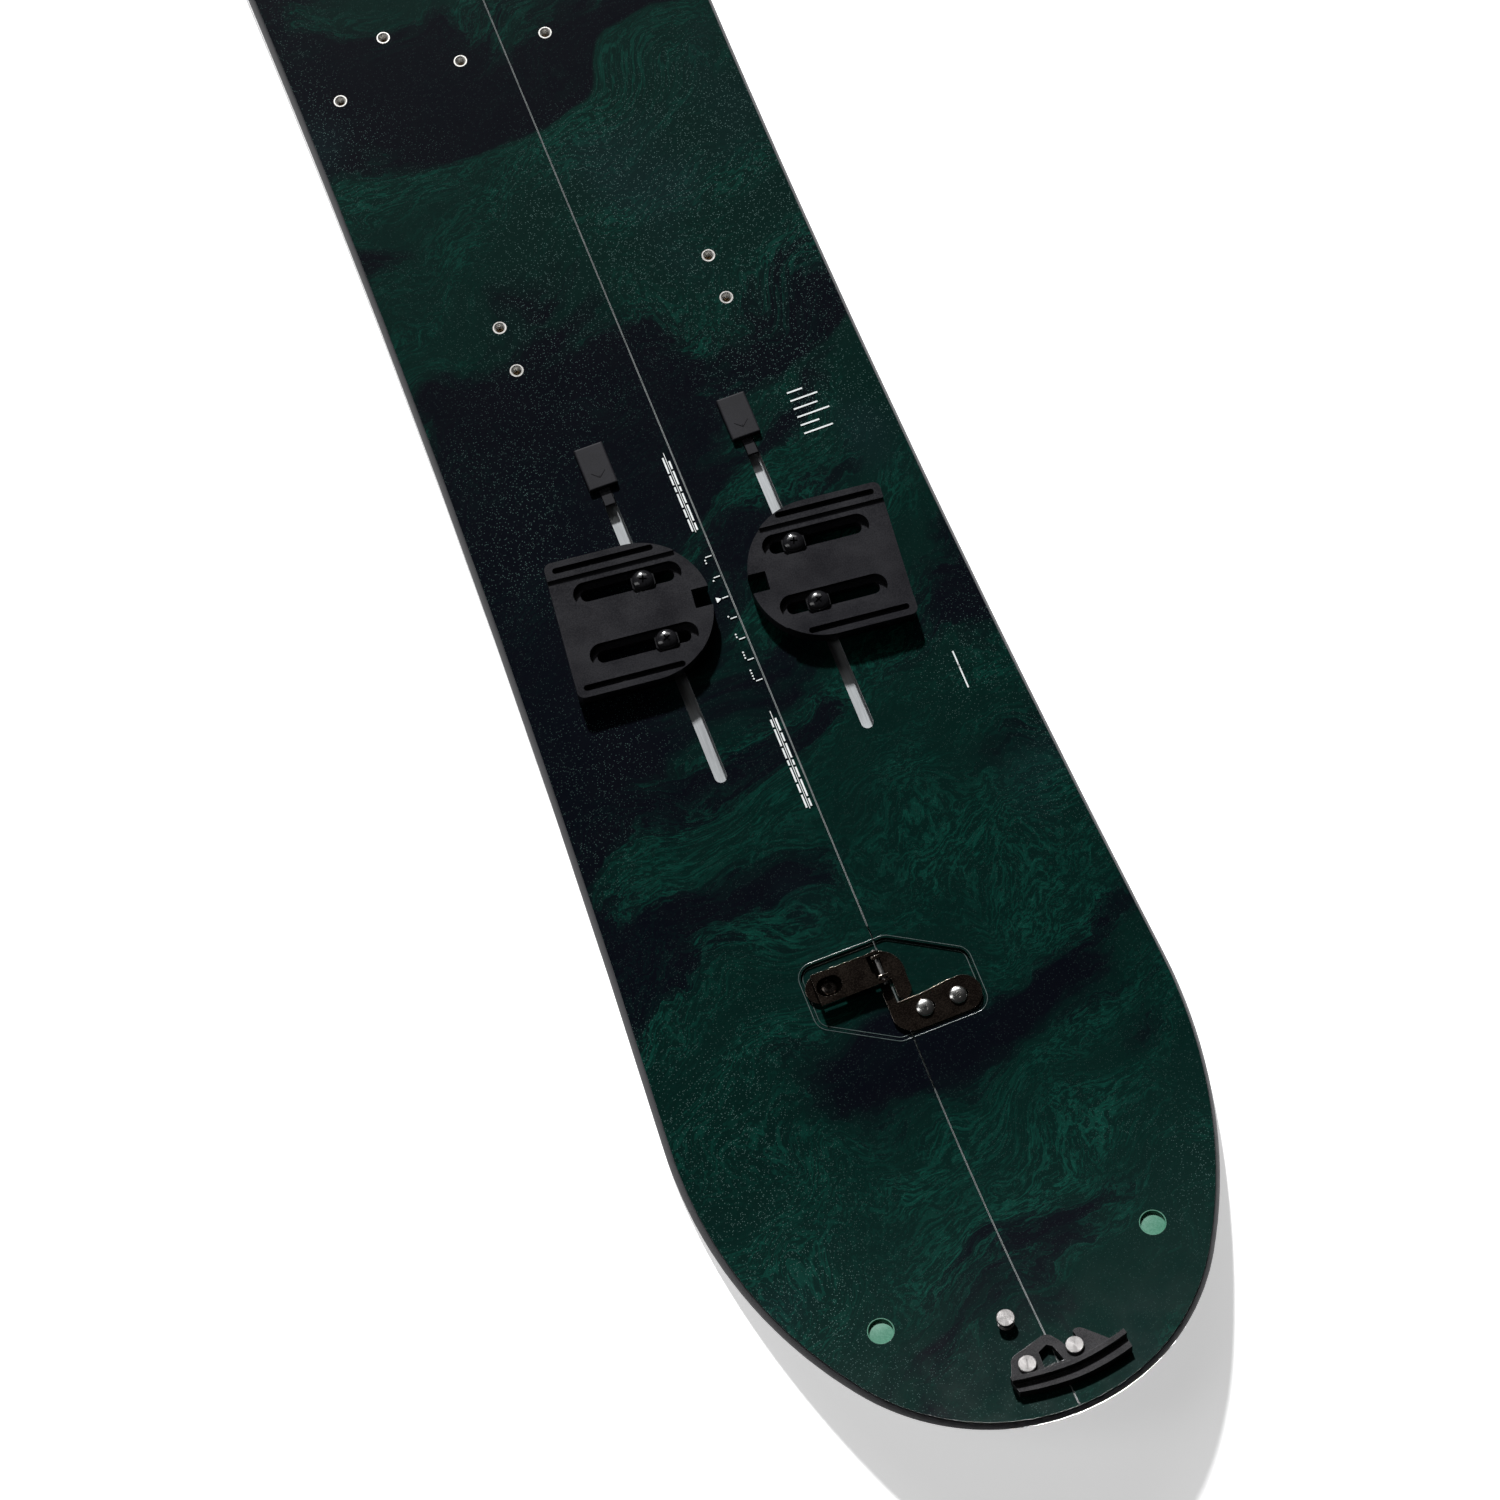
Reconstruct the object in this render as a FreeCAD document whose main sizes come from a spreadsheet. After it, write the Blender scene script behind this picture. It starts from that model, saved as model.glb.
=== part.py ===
"""Splitboard in ride mode: two half boards locked side by side, with pucks, hooks and tip clips.

Frame: +Y towards the nose, +X towards the right half, +Z up. The origin is on the floor, below
the middle of the board. Lengths are millimetres and angles are degrees.
"""

import FreeCAD, Part

import math
import os

import Sketcher

Vector = FreeCAD.Vector
Placement = FreeCAD.Placement
Rotation = FreeCAD.Rotation
UP = Vector(0, 0, 1)

SIZES = {
    # Plan outline, made of tangent arcs. The nose is the longer end.
    "half_length": 782.0,
    "waist_place": -70.0,
    "waist_half_width": 124.5,
    "sidecut_radius": 8150.0,
    "tail_end_radius": 119.0,
    "tail_side_radius": 231.0,
    "nose_end_radius": 122.0,
    "nose_side_radius": 300.0,
    "seam_gap": 0.3,
    # Side profile, made of tangent arcs. The board touches the floor at the two contacts.
    "tail_contact": -597.0,
    "nose_contact": 545.0,
    "camber_radius": 40755.0,
    "tail_kick_radius": 367.0,
    "tail_kick_top_radius": 389.0,
    "nose_kick_radius": 513.0,
    "nose_kick_top_radius": 541.0,
    # Layers, from the floor up.
    "board_thickness": 9.0,
    "base_thickness": 1.8,
    "topsheet_thickness": 0.7,
    "edge_width": 2.2,
    "sidewall_width": 6.0,
    "topsheet_inset": 3.2,
    "topsheet_seam_inset": 0.25,
    # Threaded inserts for the touring bracket and the heel rest.
    "insert_line": 62.5,
    "toe_insert_place": 77.5,
    "toe_insert_step": 30.5,
    "toe_insert_spacing": 73.0,
    "heel_insert_place": -121.0,
    "heel_insert_spacing": 28.0,
    "insert_radius": 4.0,
    "insert_bore_radius": 2.5,
    "insert_height": 7.0,
    "insert_flange_radius": 7.0,
    "insert_flange_height": 1.2,
    # Stance: the reference marks and the channels that the pucks slide along.
    "rear_mark": -316.0,
    "front_mark": 244.0,
    "channel_line": 42.0,
    "channel_slot_width": 6.8,
    "channel_tail_reach": 97.0,
    "channel_entry_reach": 105.0,
    "entry_length": 18.0,
    "entry_width": 13.0,
    "track_width": 15.0,
    "track_depth": 5.85,
    "track_lip": 1.3,
    "track_floor": 0.75,
    "track_cavity_width": 12.0,
    "track_margin": 5.0,
    "track_sink": 0.2,
    "plug_length": 26.0,
    "plug_width": 16.5,
    "plug_cap_height": 3.0,
    "plug_tongue_length": 10.0,
    # Pucks.
    "puck_angle": 6.0,
    "puck_offset": 52.75,
    "puck_half_depth": 39.5,
    "puck_outboard": 41.5,
    "puck_round_centre": 2.5,
    "puck_height": 10.0,
    "puck_deck_height": 8.5,
    "puck_lift": 0.35,
    "puck_corner_radius": 4.0,
    "rail_inner_edge": 29.5,
    "rail_groove_line": 34.4,
    "rail_groove_width": 3.4,
    "rail_groove_length": 56.0,
    "rail_groove_depth": 5.0,
    "puck_slot_line": 18.0,
    "puck_slot_width": 6.8,
    "puck_slot_length": 52.0,
    "counterbore_width": 13.6,
    "counterbore_length": 60.0,
    "counterbore_floor": 5.0,
    "notch_depth": 10.0,
    "notch_width": 11.0,
    "puck_screw_radius": 2.9,
    "puck_screw_head_radius": 5.8,
    "puck_screw_head_height": 3.8,
    "puck_screw_shank": 11.5,
    "washer_side": 13.0,
    "washer_thickness": 1.2,
    "washer_corner": 3.6,
    "nut_side": 11.4,
    "nut_thickness": 3.2,
    # Hooks in their shallow recesses.
    "rear_hook_place": -548.5,
    "front_hook_place": 498.0,
    "recess_depth": 1.5,
    "recess_corner": 8.0,
    "recess_reach": 36.0,
    "recess_side": 19.5,
    "recess_step": 4.0,
    "recess_toe": 1.0,
    "plate_thickness": 2.0,
    "finger_relief": 0.4,
    "finger_gap": 0.9,
    "foot_half_width": 8.5,
    "foot_trim": 2.0,
    "hook_foot_end": 36.0,
    "catch_foot_end": 33.5,
    "catch_foot_low": 25.2,
    "catch_foot_high": 6.2,
    "catch_foot_waist": 11.0,
    "catch_foot_step": 27.0,
    "catch_foot_shoulder": 8.0,
    "catch_foot_corner": 9.5,
    "catch_slot_shift": 1.6,
    "catch_slot_travel": 3.4,
    "hook_screw_radius": 2.4,
    "hook_screw_head_radius": 4.7,
    "hook_screw_head_height": 2.2,
    "hook_screw_shank": 7.4,
    "drive_socket_radius": 1.7,
    "hinge_line": -3.0,
    "hinge_place": 12.0,
    "hinge_height": 5.2,
    "hinge_pin_radius": 1.3,
    "hinge_pin_length": 19.0,
    "ear_radius": 2.5,
    "ear_thickness": 1.5,
    "ear_spacing": 10.6,
    "lever_width": 17.0,
    "lever_reach": 35.5,
    "lever_wall": 1.4,
    "lever_height": 4.6,
    "lever_knuckle_radius": 2.7,
    "lever_window_length": 14.0,
    "lever_window_width": 10.0,
    "lever_clearance": 0.4,
    "lever_shell_gap": 5.0,
    "lever_arm_overlap": 3.0,
    "hinge_bore_clearance": 0.06,
    # Tip and tail clips.
    "rear_clip_place": -754.0,
    "front_clip_place": 754.0,
    "clip_pivot_line": 15.2,
    "clip_reach": 25.0,
    "clip_lift": 1.5,
    "clip_thickness": 3.5,
    "clip_handle_height": 9.0,
    "clip_skirt_height": 5.0,
    "clip_bore_radius": 2.9,
    "clip_head_gap": 0.3,
    "pin_radius": 2.8,
    "pin_head_radius": 4.6,
    "pin_head_height": 1.7,
    "pin_collar_radius": 4.2,
    "pin_collar_height": 1.2,
    "pin_depth": 3.6,
    # Skin holes near the corners of the tip and tail.
    "skin_hole_line": 73.5,
    "tail_skin_hole_place": -709.5,
    "nose_skin_hole_place": 709.5,
    "skin_hole_radius": 6.9,
    "hole_plug_wall": 0.55,
    "hole_plug_height": 6.4,
    "hole_plug_recess": 2.2,
}

doc = FreeCAD.newDocument("splitboard")
sheet = doc.addObject("Spreadsheet::Sheet", "sizes")


class Size:
    """A number together with the text that binds it to the sheet."""

    def __init__(self, value, text):
        self.value = value
        self.text = text

    def _join(self, other, sign, value):
        other = as_size(other)
        return Size(value, "(" + self.text + sign + other.text + ")")

    def __add__(self, other):
        return self._join(other, " + ", self.value + as_size(other).value)

    def __sub__(self, other):
        return self._join(other, " - ", self.value - as_size(other).value)

    def __mul__(self, other):
        return self._join(other, " * ", self.value * as_size(other).value)

    def __truediv__(self, other):
        return self._join(other, " / ", self.value / as_size(other).value)

    def __neg__(self):
        return Size(-self.value, "(0 - " + self.text + ")")


def as_size(item):
    return item if isinstance(item, Size) else Size(float(item), repr(float(item)))


def root_of(amount):
    """The square root of a size, still bound to the sheet."""
    return Size(math.sqrt(amount.value), "sqrt(" + amount.text + ")")


class SheetSizes:
    """Gives size.some_name as a Size bound to the sheet's cell of that name."""

    def __getattr__(self, name):
        return Size(SIZES[name], "sizes." + name)


for row, (alias, number) in enumerate(SIZES.items(), start=1):
    sheet.set("A%d" % row, alias)
    sheet.set("B%d" % row, str(number))
    sheet.setAlias("B%d" % row, alias)
doc.recompute()
size = SheetSizes()


# ---------------------------------------------------------------- drawing helpers


def bind(item, prop, amount):
    """Sets a property to a size and keeps it bound to the sheet."""
    amount = as_size(amount)
    item.setExpression(prop, amount.text)


def fix(sketch, kind, refs, amount):
    """Adds one driving dimension to a sketch and binds it to the sheet."""
    amount = as_size(amount)
    index = sketch.addConstraint(Sketcher.Constraint(kind, *refs, amount.value))
    sketch.setExpression("Constraints[%d]" % index, amount.text)


def fix_point(sketch, edge, end, x, y):
    fix(sketch, "DistanceX", (edge, end), x)
    fix(sketch, "DistanceY", (edge, end), y)


def arc_between(start, end, radius):
    """An arc from start to end; a positive radius turns anticlockwise, a negative one clockwise."""
    chord = end - start
    middle = (start + end) * 0.5
    half = chord.Length / 2.0
    reach = math.sqrt(max(radius * radius - half * half, 0.0))
    left = Vector(-chord.y, chord.x, 0).normalize()
    centre = middle + left * (reach if radius > 0 else -reach)
    first, last = (start, end) if radius > 0 else (end, start)
    circle = Part.Circle(centre, UP, abs(radius))
    first_turn = math.atan2(first.y - centre.y, first.x - centre.x)
    last_turn = math.atan2(last.y - centre.y, last.x - centre.x)
    return Part.ArcOfCircle(circle, first_turn, last_turn)


def closed_outline(sketch, corners, radii=None):
    """Draws corners joined by lines, or by an arc after each corner that has a radius in radii."""
    radii = radii or {}
    corners = [(as_size(x), as_size(y)) for x, y in corners]
    spots = [Vector(x.value, y.value, 0) for x, y in corners]
    count = len(corners)
    edges = []
    for index in range(count):
        start, end = spots[index], spots[(index + 1) % count]
        if index in radii:
            radius = as_size(radii[index])
            edge = sketch.addGeometry(arc_between(start, end, radius.value), False)
            ends = (1, 2) if radius.value > 0 else (2, 1)
            fix(sketch, "Radius", (edge,), radius if radius.value > 0 else -radius)
        else:
            edge = sketch.addGeometry(Part.LineSegment(start, end), False)
            ends = (1, 2)
        edges.append((edge, ends))
    for index in range(count):
        edge, ends = edges[index]
        after, after_ends = edges[(index + 1) % count]
        sketch.addConstraint(Sketcher.Constraint("Coincident", edge, ends[1], after, after_ends[0]))
        fix_point(sketch, edge, ends[0], *corners[index])


def rectangle(sketch, centre_x, centre_y, width, height):
    """Draws a rectangle about a centre."""
    half_width = as_size(width) / 2
    half_height = as_size(height) / 2
    centre_x, centre_y = as_size(centre_x), as_size(centre_y)
    left, right = centre_x - half_width, centre_x + half_width
    low, high = centre_y - half_height, centre_y + half_height
    closed_outline(sketch, [(left, low), (right, low), (right, high), (left, high)])


def slot_along_x(sketch, centre_x, centre_y, length, width):
    """Draws a slot with round ends, length overall."""
    radius = as_size(width) / 2
    run = as_size(length) / 2 - radius
    centre_x, centre_y = as_size(centre_x), as_size(centre_y)
    left, right = centre_x - run, centre_x + run
    low, high = centre_y - radius, centre_y + radius
    # A hair over half the width keeps each end a true arc between its two corners.
    end_radius = radius + 0.0001
    corners = [(left, low), (right, low), (right, high), (left, high)]
    closed_outline(sketch, corners, {1: end_radius, 3: end_radius})


def circle(sketch, x, y, radius):
    radius = as_size(radius)
    x, y = as_size(x), as_size(y)
    spot = Vector(x.value, y.value, 0)
    edge = sketch.addGeometry(Part.Circle(spot, UP, radius.value), False)
    fix(sketch, "Radius", (edge,), radius)
    fix_point(sketch, edge, 3, x, y)


def free_sketch(name):
    """A sketch of its own on the XY plane, for Part extrusions."""
    return doc.addObject("Sketcher::SketchObject", name)


def body_sketch(body, name, height=0, plane="XY_Plane"):
    """A sketch on one of a body's own origin planes, raised by a height."""
    sketch = body.newObject("Sketcher::SketchObject", name)
    origin_plane = [item for item in body.Origin.OriginFeatures if item.Role == plane][0]
    sketch.AttachmentSupport = [(origin_plane, "")]
    sketch.MapMode = "FlatFace"
    bind(sketch, "AttachmentOffset.Base.z", height)
    return sketch


def new_body(label):
    body = doc.addObject("PartDesign::Body", label)
    body.Label = label
    return body


def pad(body, sketch, length, reverse=False):
    feature = body.newObject("PartDesign::Pad", sketch.Name + "_pad")
    feature.Profile = sketch
    bind(feature, "Length", length)
    feature.Reversed = reverse
    sketch.Visibility = False
    doc.recompute()
    return feature


def pocket(body, sketch, length=None):
    """Cuts down from the sketch by a length, or right through the body."""
    before = body.Shape.Volume
    feature = body.newObject("PartDesign::Pocket", sketch.Name + "_pocket")
    feature.Profile = sketch
    if length is None:
        feature.Type = "ThroughAll"
        feature.Midplane = True
    else:
        bind(feature, "Length", length)
    doc.recompute()
    if body.Shape.Volume > before - 1e-3:
        raise RuntimeError(sketch.Name + " cuts nothing")
    return feature


def turned_body(label, corners, radii=None):
    """A body of revolution about its own Z axis, from a half section in X (radius) and Z."""
    body = new_body(label)
    sketch = body_sketch(body, label + "_section", plane="XZ_Plane")
    closed_outline(sketch, corners, radii)
    feature = body.newObject("PartDesign::Revolution", label + "_turn")
    feature.Profile = sketch
    feature.ReferenceAxis = (sketch, ["V_Axis"])
    feature.Angle = 360.0
    doc.recompute()
    return body


def extrusion(name, sketch, low, length, placement=None):
    """A Part extrusion of a sketch along its normal, from a low height."""
    sketch.Placement = placement or Placement()
    solid = doc.addObject("Part::Extrusion", name)
    solid.Base = sketch
    solid.DirMode = "Normal"
    solid.Solid = True
    bind(solid, "LengthFwd", as_size(low) + length)
    bind(solid, "LengthRev", -as_size(low))
    return solid


def boolean(kind, name, base, tool):
    item = doc.addObject("Part::" + kind, name)
    item.Base = base
    item.Tool = tool
    return item


def fused(name, solids):
    item = doc.addObject("Part::MultiFuse", name)
    item.Shapes = solids
    return item


def group(label, master, places):
    """One node that holds a copy of a turned or padded piece at each place."""
    item = doc.addObject("Part::Feature", label)
    copies = []
    for place in places:
        copy = master.Shape.copy()
        copy.Placement = place
        copies.append(copy)
    item.Shape = Part.makeCompound(copies) if len(copies) > 1 else copies[0]
    return item


nodes = []


def keep(item, label, placement=None):
    """Names a finished sub-part, places it and lists it for export."""
    item.Label = label
    if placement is not None:
        item.Placement = placement
    nodes.append(item)
    return item


# ---------------------------------------------------------------- the board's surface


def crossing(centre_one, radius_one, centre_two, radius_two, lower):
    """Where two circles cross; lower picks the crossing with the smaller y."""
    apart = centre_two - centre_one
    distance = apart.Length
    along = (distance ** 2 + radius_one ** 2 - radius_two ** 2) / (2 * distance)
    across = math.sqrt(max(radius_one ** 2 - along ** 2, 0.0))
    foot = centre_one + apart * (along / distance)
    offset = Vector(-apart.y, apart.x, 0) * (across / distance)
    picks = sorted([foot + offset, foot - offset], key=lambda spot: spot.y)
    return picks[0] if lower else picks[1]


def toward(start, target, distance):
    return start + (target - start).normalize() * distance


class SurfaceLine:
    """A side-view line of tangent arcs: tail kick, camber and nose kick.

    It is an offset of the base, upwards, or of the topsheet, downwards.
    """

    def __init__(self, above_base=None, below_top=None):
        if above_base is not None:
            offset = as_size(above_base)
            self.tail_radius = size.tail_kick_radius - offset
            self.nose_radius = size.nose_kick_radius - offset
            self.camber_radius = size.camber_radius + offset
            self.tail_height = size.tail_kick_radius + 0
            self.nose_height = size.nose_kick_radius + 0
        else:
            offset = as_size(below_top)
            self.tail_radius = size.tail_kick_top_radius + offset
            self.nose_radius = size.nose_kick_top_radius + offset
            self.camber_radius = size.camber_radius + size.board_thickness - offset
            self.tail_height = size.tail_kick_top_radius + size.board_thickness
            self.nose_height = size.nose_kick_top_radius + size.board_thickness
        self.tail_centre = Vector(size.tail_contact.value, self.tail_height.value, 0)
        self.nose_centre = Vector(size.nose_contact.value, self.nose_height.value, 0)
        self.camber_centre = crossing(
            self.tail_centre, self.tail_radius.value + self.camber_radius.value,
            self.nose_centre, self.nose_radius.value + self.camber_radius.value, True)


def top_point(place):
    """Height and slope of the topsheet's surface on the seam, at a place along the board."""
    line = SurfaceLine(below_top=0)
    tail_join = toward(line.tail_centre, line.camber_centre, line.tail_radius.value)
    nose_join = toward(line.nose_centre, line.camber_centre, line.nose_radius.value)
    if place < tail_join.x:
        centre, radius, side = line.tail_centre, line.tail_radius.value, -1
    elif place > nose_join.x:
        centre, radius, side = line.nose_centre, line.nose_radius.value, -1
    else:
        centre, radius, side = line.camber_centre, line.camber_radius.value, 1
    run = place - centre.x
    height = centre.y + side * math.sqrt(radius ** 2 - run ** 2)
    slope = -side * math.degrees(math.asin(run / radius))
    return height, slope


def surface_frame(place, turned=False):
    """A frame on the topsheet at the seam: Z out of the board, turned half round at the front."""
    height, slope = top_point(place)
    tilt = Rotation(Vector(1, 0, 0), slope)
    half_turn = Rotation(UP, 180 if turned else 0)
    return Placement(Vector(0, place, height), tilt.multiply(half_turn))


def at(x, y, z=0.0, angle=0.0):
    return Placement(Vector(x, y, z), Rotation(UP, angle))


ENDS = {
    "rear": {"turned": False, "mark": size.rear_mark.value, "hook": size.rear_hook_place.value,
             "clip": size.rear_clip_place.value, "lever_half": "left", "catch_half": "right"},
    "front": {"turned": True, "mark": size.front_mark.value, "hook": size.front_hook_place.value,
              "clip": size.front_clip_place.value, "lever_half": "right", "catch_half": "left"},
}
SIDES = {"left": -1, "right": 1}


# ---------------------------------------------------------------- the board's layers


def outline_sketch(name, inset, seam_inset):
    """The right half's plan: seam line, two end arcs, two side arcs and the sidecut, all tangent.

    Every arc keeps its centre when the outline is inset; only the radii change.
    """
    inset, seam_inset = as_size(inset), as_size(seam_inset)
    seam = size.seam_gap / 2 + seam_inset
    tail_radius, nose_radius = size.tail_end_radius - inset, size.nose_end_radius - inset
    tail_side, nose_side = size.tail_side_radius - inset, size.nose_side_radius - inset
    sidecut = size.sidecut_radius + inset
    tail_centre = -size.half_length + size.tail_end_radius
    nose_centre = size.half_length - size.nose_end_radius
    sidecut_centre = size.waist_half_width + size.sidecut_radius

    low_centre = Vector(0, tail_centre.value, 0)
    high_centre = Vector(0, nose_centre.value, 0)
    cut_centre = Vector(sidecut_centre.value, size.waist_place.value, 0)
    low_side = crossing(low_centre, tail_side.value - tail_radius.value,
                        cut_centre, sidecut.value + tail_side.value, False)
    high_side = crossing(high_centre, nose_side.value - nose_radius.value,
                         cut_centre, sidecut.value + nose_side.value, True)
    tail_tip = Vector(seam.value, low_centre.y - math.sqrt(tail_radius.value ** 2 - seam.value ** 2), 0)
    nose_tip = Vector(seam.value, high_centre.y + math.sqrt(nose_radius.value ** 2 - seam.value ** 2), 0)
    tail_join = toward(low_side, low_centre, tail_side.value)
    nose_join = toward(high_side, high_centre, nose_side.value)
    tail_hip = toward(low_side, cut_centre, tail_side.value)
    nose_hip = toward(high_side, cut_centre, nose_side.value)

    sketch = free_sketch(name)
    line = sketch.addGeometry(Part.LineSegment(nose_tip, tail_tip), False)
    tail_end = sketch.addGeometry(arc_between(tail_tip, tail_join, tail_radius.value), False)
    tail_flank = sketch.addGeometry(arc_between(tail_join, tail_hip, tail_side.value), False)
    waist = sketch.addGeometry(arc_between(tail_hip, nose_hip, -sidecut.value), False)
    nose_flank = sketch.addGeometry(arc_between(nose_hip, nose_join, nose_side.value), False)
    nose_end = sketch.addGeometry(arc_between(nose_join, nose_tip, nose_radius.value), False)
    joins = [("Coincident", line, 2, tail_end, 1), ("Tangent", tail_end, 2, tail_flank, 1),
             ("Tangent", tail_flank, 2, waist, 2), ("Tangent", waist, 1, nose_flank, 1),
             ("Tangent", nose_flank, 2, nose_end, 1), ("Coincident", nose_end, 2, line, 1)]
    for join in joins:
        sketch.addConstraint(Sketcher.Constraint(*join))
    sketch.addConstraint(Sketcher.Constraint("Vertical", line))
    fix(sketch, "DistanceX", (line, 1), seam)
    arcs = [(tail_end, tail_radius), (tail_flank, tail_side), (waist, sidecut),
            (nose_flank, nose_side), (nose_end, nose_radius)]
    for edge, radius in arcs:
        fix(sketch, "Radius", (edge,), radius)
    fix_point(sketch, tail_end, 3, 0, tail_centre)
    fix_point(sketch, nose_end, 3, 0, nose_centre)
    fix_point(sketch, waist, 3, sidecut_centre, size.waist_place)
    return sketch


def draw_line(sketch, line):
    """Draws one surface line and gives its tail and nose edges."""
    reach = size.half_length + 40
    tips = []
    for centre, radius, side in ((line.tail_centre, line.tail_radius.value, -1),
                                 (line.nose_centre, line.nose_radius.value, 1)):
        run = side * reach.value - centre.x
        tips.append(centre + Vector(run, -math.sqrt(radius ** 2 - run ** 2), 0))
    tail_join = toward(line.tail_centre, line.camber_centre, line.tail_radius.value)
    nose_join = toward(line.nose_centre, line.camber_centre, line.nose_radius.value)
    tail = sketch.addGeometry(arc_between(tips[0], tail_join, line.tail_radius.value), False)
    arch = sketch.addGeometry(arc_between(tail_join, nose_join, -line.camber_radius.value), False)
    nose = sketch.addGeometry(arc_between(nose_join, tips[1], line.nose_radius.value), False)
    sketch.addConstraint(Sketcher.Constraint("Tangent", tail, 2, arch, 2))
    sketch.addConstraint(Sketcher.Constraint("Tangent", arch, 1, nose, 1))
    radii = ((tail, line.tail_radius), (arch, line.camber_radius), (nose, line.nose_radius))
    for edge, radius in radii:
        fix(sketch, "Radius", (edge,), radius)
    fix_point(sketch, tail, 3, size.tail_contact, line.tail_height)
    fix_point(sketch, nose, 3, size.nose_contact, line.nose_height)
    fix(sketch, "DistanceX", (tail, 1), -reach)
    fix(sketch, "DistanceX", (nose, 2), reach)
    return tail, nose


def band_sketch(name, low, high):
    """A side-view band between two surface lines."""
    sketch = free_sketch(name)
    low_tail, low_nose = draw_line(sketch, low)
    high_tail, high_nose = draw_line(sketch, high)
    for below, above, end in ((low_tail, high_tail, 1), (low_nose, high_nose, 2)):
        start = sketch.getPoint(below, end)
        finish = sketch.getPoint(above, end)
        riser = sketch.addGeometry(Part.LineSegment(start, finish), False)
        sketch.addConstraint(Sketcher.Constraint("Coincident", below, end, riser, 1))
        sketch.addConstraint(Sketcher.Constraint("Coincident", above, end, riser, 2))
    return sketch


# A side-view sketch stands on edge: its x runs along the board and its y points up.
ON_EDGE = Placement(Vector(0, 0, 0), Rotation(Vector(1, 1, 1), 120))
BLANK_HEIGHT = 90
BLANK_WIDTH = 160


def plan_blank(name, sketch, side):
    """A tall prism of the half board's plan; the left half is the mirror of the right."""
    blank = extrusion(name, sketch, -1, BLANK_HEIGHT)
    if side > 0:
        return blank
    mirrored = doc.addObject("Part::Mirroring", name + "_left")
    mirrored.Source = blank
    mirrored.Base = Vector(0, 0, 0)
    mirrored.Normal = Vector(1, 0, 0)
    return mirrored


base_plan = outline_sketch("base_plan", 0, 0)
edge_plan = outline_sketch("edge_plan", size.edge_width, size.edge_width)
wall_plan = outline_sketch("wall_plan", size.sidewall_width, size.sidewall_width)
top_plan = outline_sketch("top_plan", size.topsheet_inset, size.topsheet_seam_inset)

base_line = SurfaceLine(above_base=0)
base_top_line = SurfaceLine(above_base=size.base_thickness)
core_top_line = SurfaceLine(below_top=size.topsheet_thickness)
top_line = SurfaceLine(below_top=0)
band_lines = {"base": (base_line, base_top_line), "core": (base_top_line, core_top_line),
              "top": (core_top_line, top_line)}
bands = {}
for band_name, (low_line, high_line) in band_lines.items():
    drawing = band_sketch(band_name + "_band_side", low_line, high_line)
    bands[band_name] = extrusion(band_name + "_band", drawing, -BLANK_WIDTH, 2 * BLANK_WIDTH, ON_EDGE)
doc.recompute()

# ---------------------------------------------------------------- what is cut out of the layers


def insert_places(side):
    """Where one half's five inserts stand, in plan: a triangle, then a pair behind it."""
    line = side * size.insert_line.value
    half_spacing = size.toe_insert_spacing.value / 2
    toe = size.toe_insert_place.value
    heel = size.heel_insert_place.value
    triangle = [(line, toe), (line - half_spacing, toe - size.toe_insert_step.value),
                (line + half_spacing, toe - size.toe_insert_step.value)]
    return triangle + [(line, heel), (line, heel - size.heel_insert_spacing.value)]


def upright(x, y, drop=0.0):
    """A vertical frame, drop below the topsheet's surface."""
    return Placement(Vector(x, y, top_point(y)[0] - drop), Rotation())


def drilled(name, radius, low, high, place):
    """A round cutter between two heights of a frame."""
    cutter = doc.addObject("Part::Cylinder", name)
    bind(cutter, "Radius", radius)
    bind(cutter, "Height", as_size(high) - as_size(low))
    cutter.Placement = place.multiply(at(0, 0, as_size(low).value))
    return cutter


def block(name, width, length, low, high, place):
    """A box cutter, centred in plan, between two heights of a frame."""
    cutter = doc.addObject("Part::Box", name)
    bind(cutter, "Length", width)
    bind(cutter, "Width", length)
    bind(cutter, "Height", as_size(high) - as_size(low))
    corner = at(-as_size(width).value / 2, -as_size(length).value / 2, as_size(low).value)
    cutter.Placement = place.multiply(corner)
    return cutter


channel_length = size.channel_tail_reach + size.channel_entry_reach
channel_middle = (size.channel_entry_reach - size.channel_tail_reach) / 2
# The track is straight and the board is cambered, so its ends are sunk clear of the topsheet.
track_top = -(size.topsheet_thickness + size.track_sink)
track_low = track_top - size.track_depth
cavity_low = track_low + size.track_floor
cavity_high = track_top - size.track_lip
THROUGH = 12.0


def stance_frame(end_name):
    """The frame of one end's channels and pucks, at its reference mark."""
    end = ENDS[end_name]
    sign = -1 if end["turned"] else 1
    middle = end["mark"] + sign * channel_middle.value
    slope = top_point(middle)[1]
    height = top_point(middle)[0] - math.tan(math.radians(slope)) * (middle - end["mark"])
    tilt = Rotation(Vector(1, 0, 0), slope)
    return Placement(Vector(0, end["mark"], height),
                     tilt.multiply(Rotation(UP, 180 if end["turned"] else 0)))


def channel_frame(end_name, side):
    """One channel's own frame; its +Y runs to the entry, which is the noseward end at the rear."""
    across = -side if ENDS[end_name]["turned"] else side
    return stance_frame(end_name).multiply(at(across * size.channel_line.value, 0))


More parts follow.
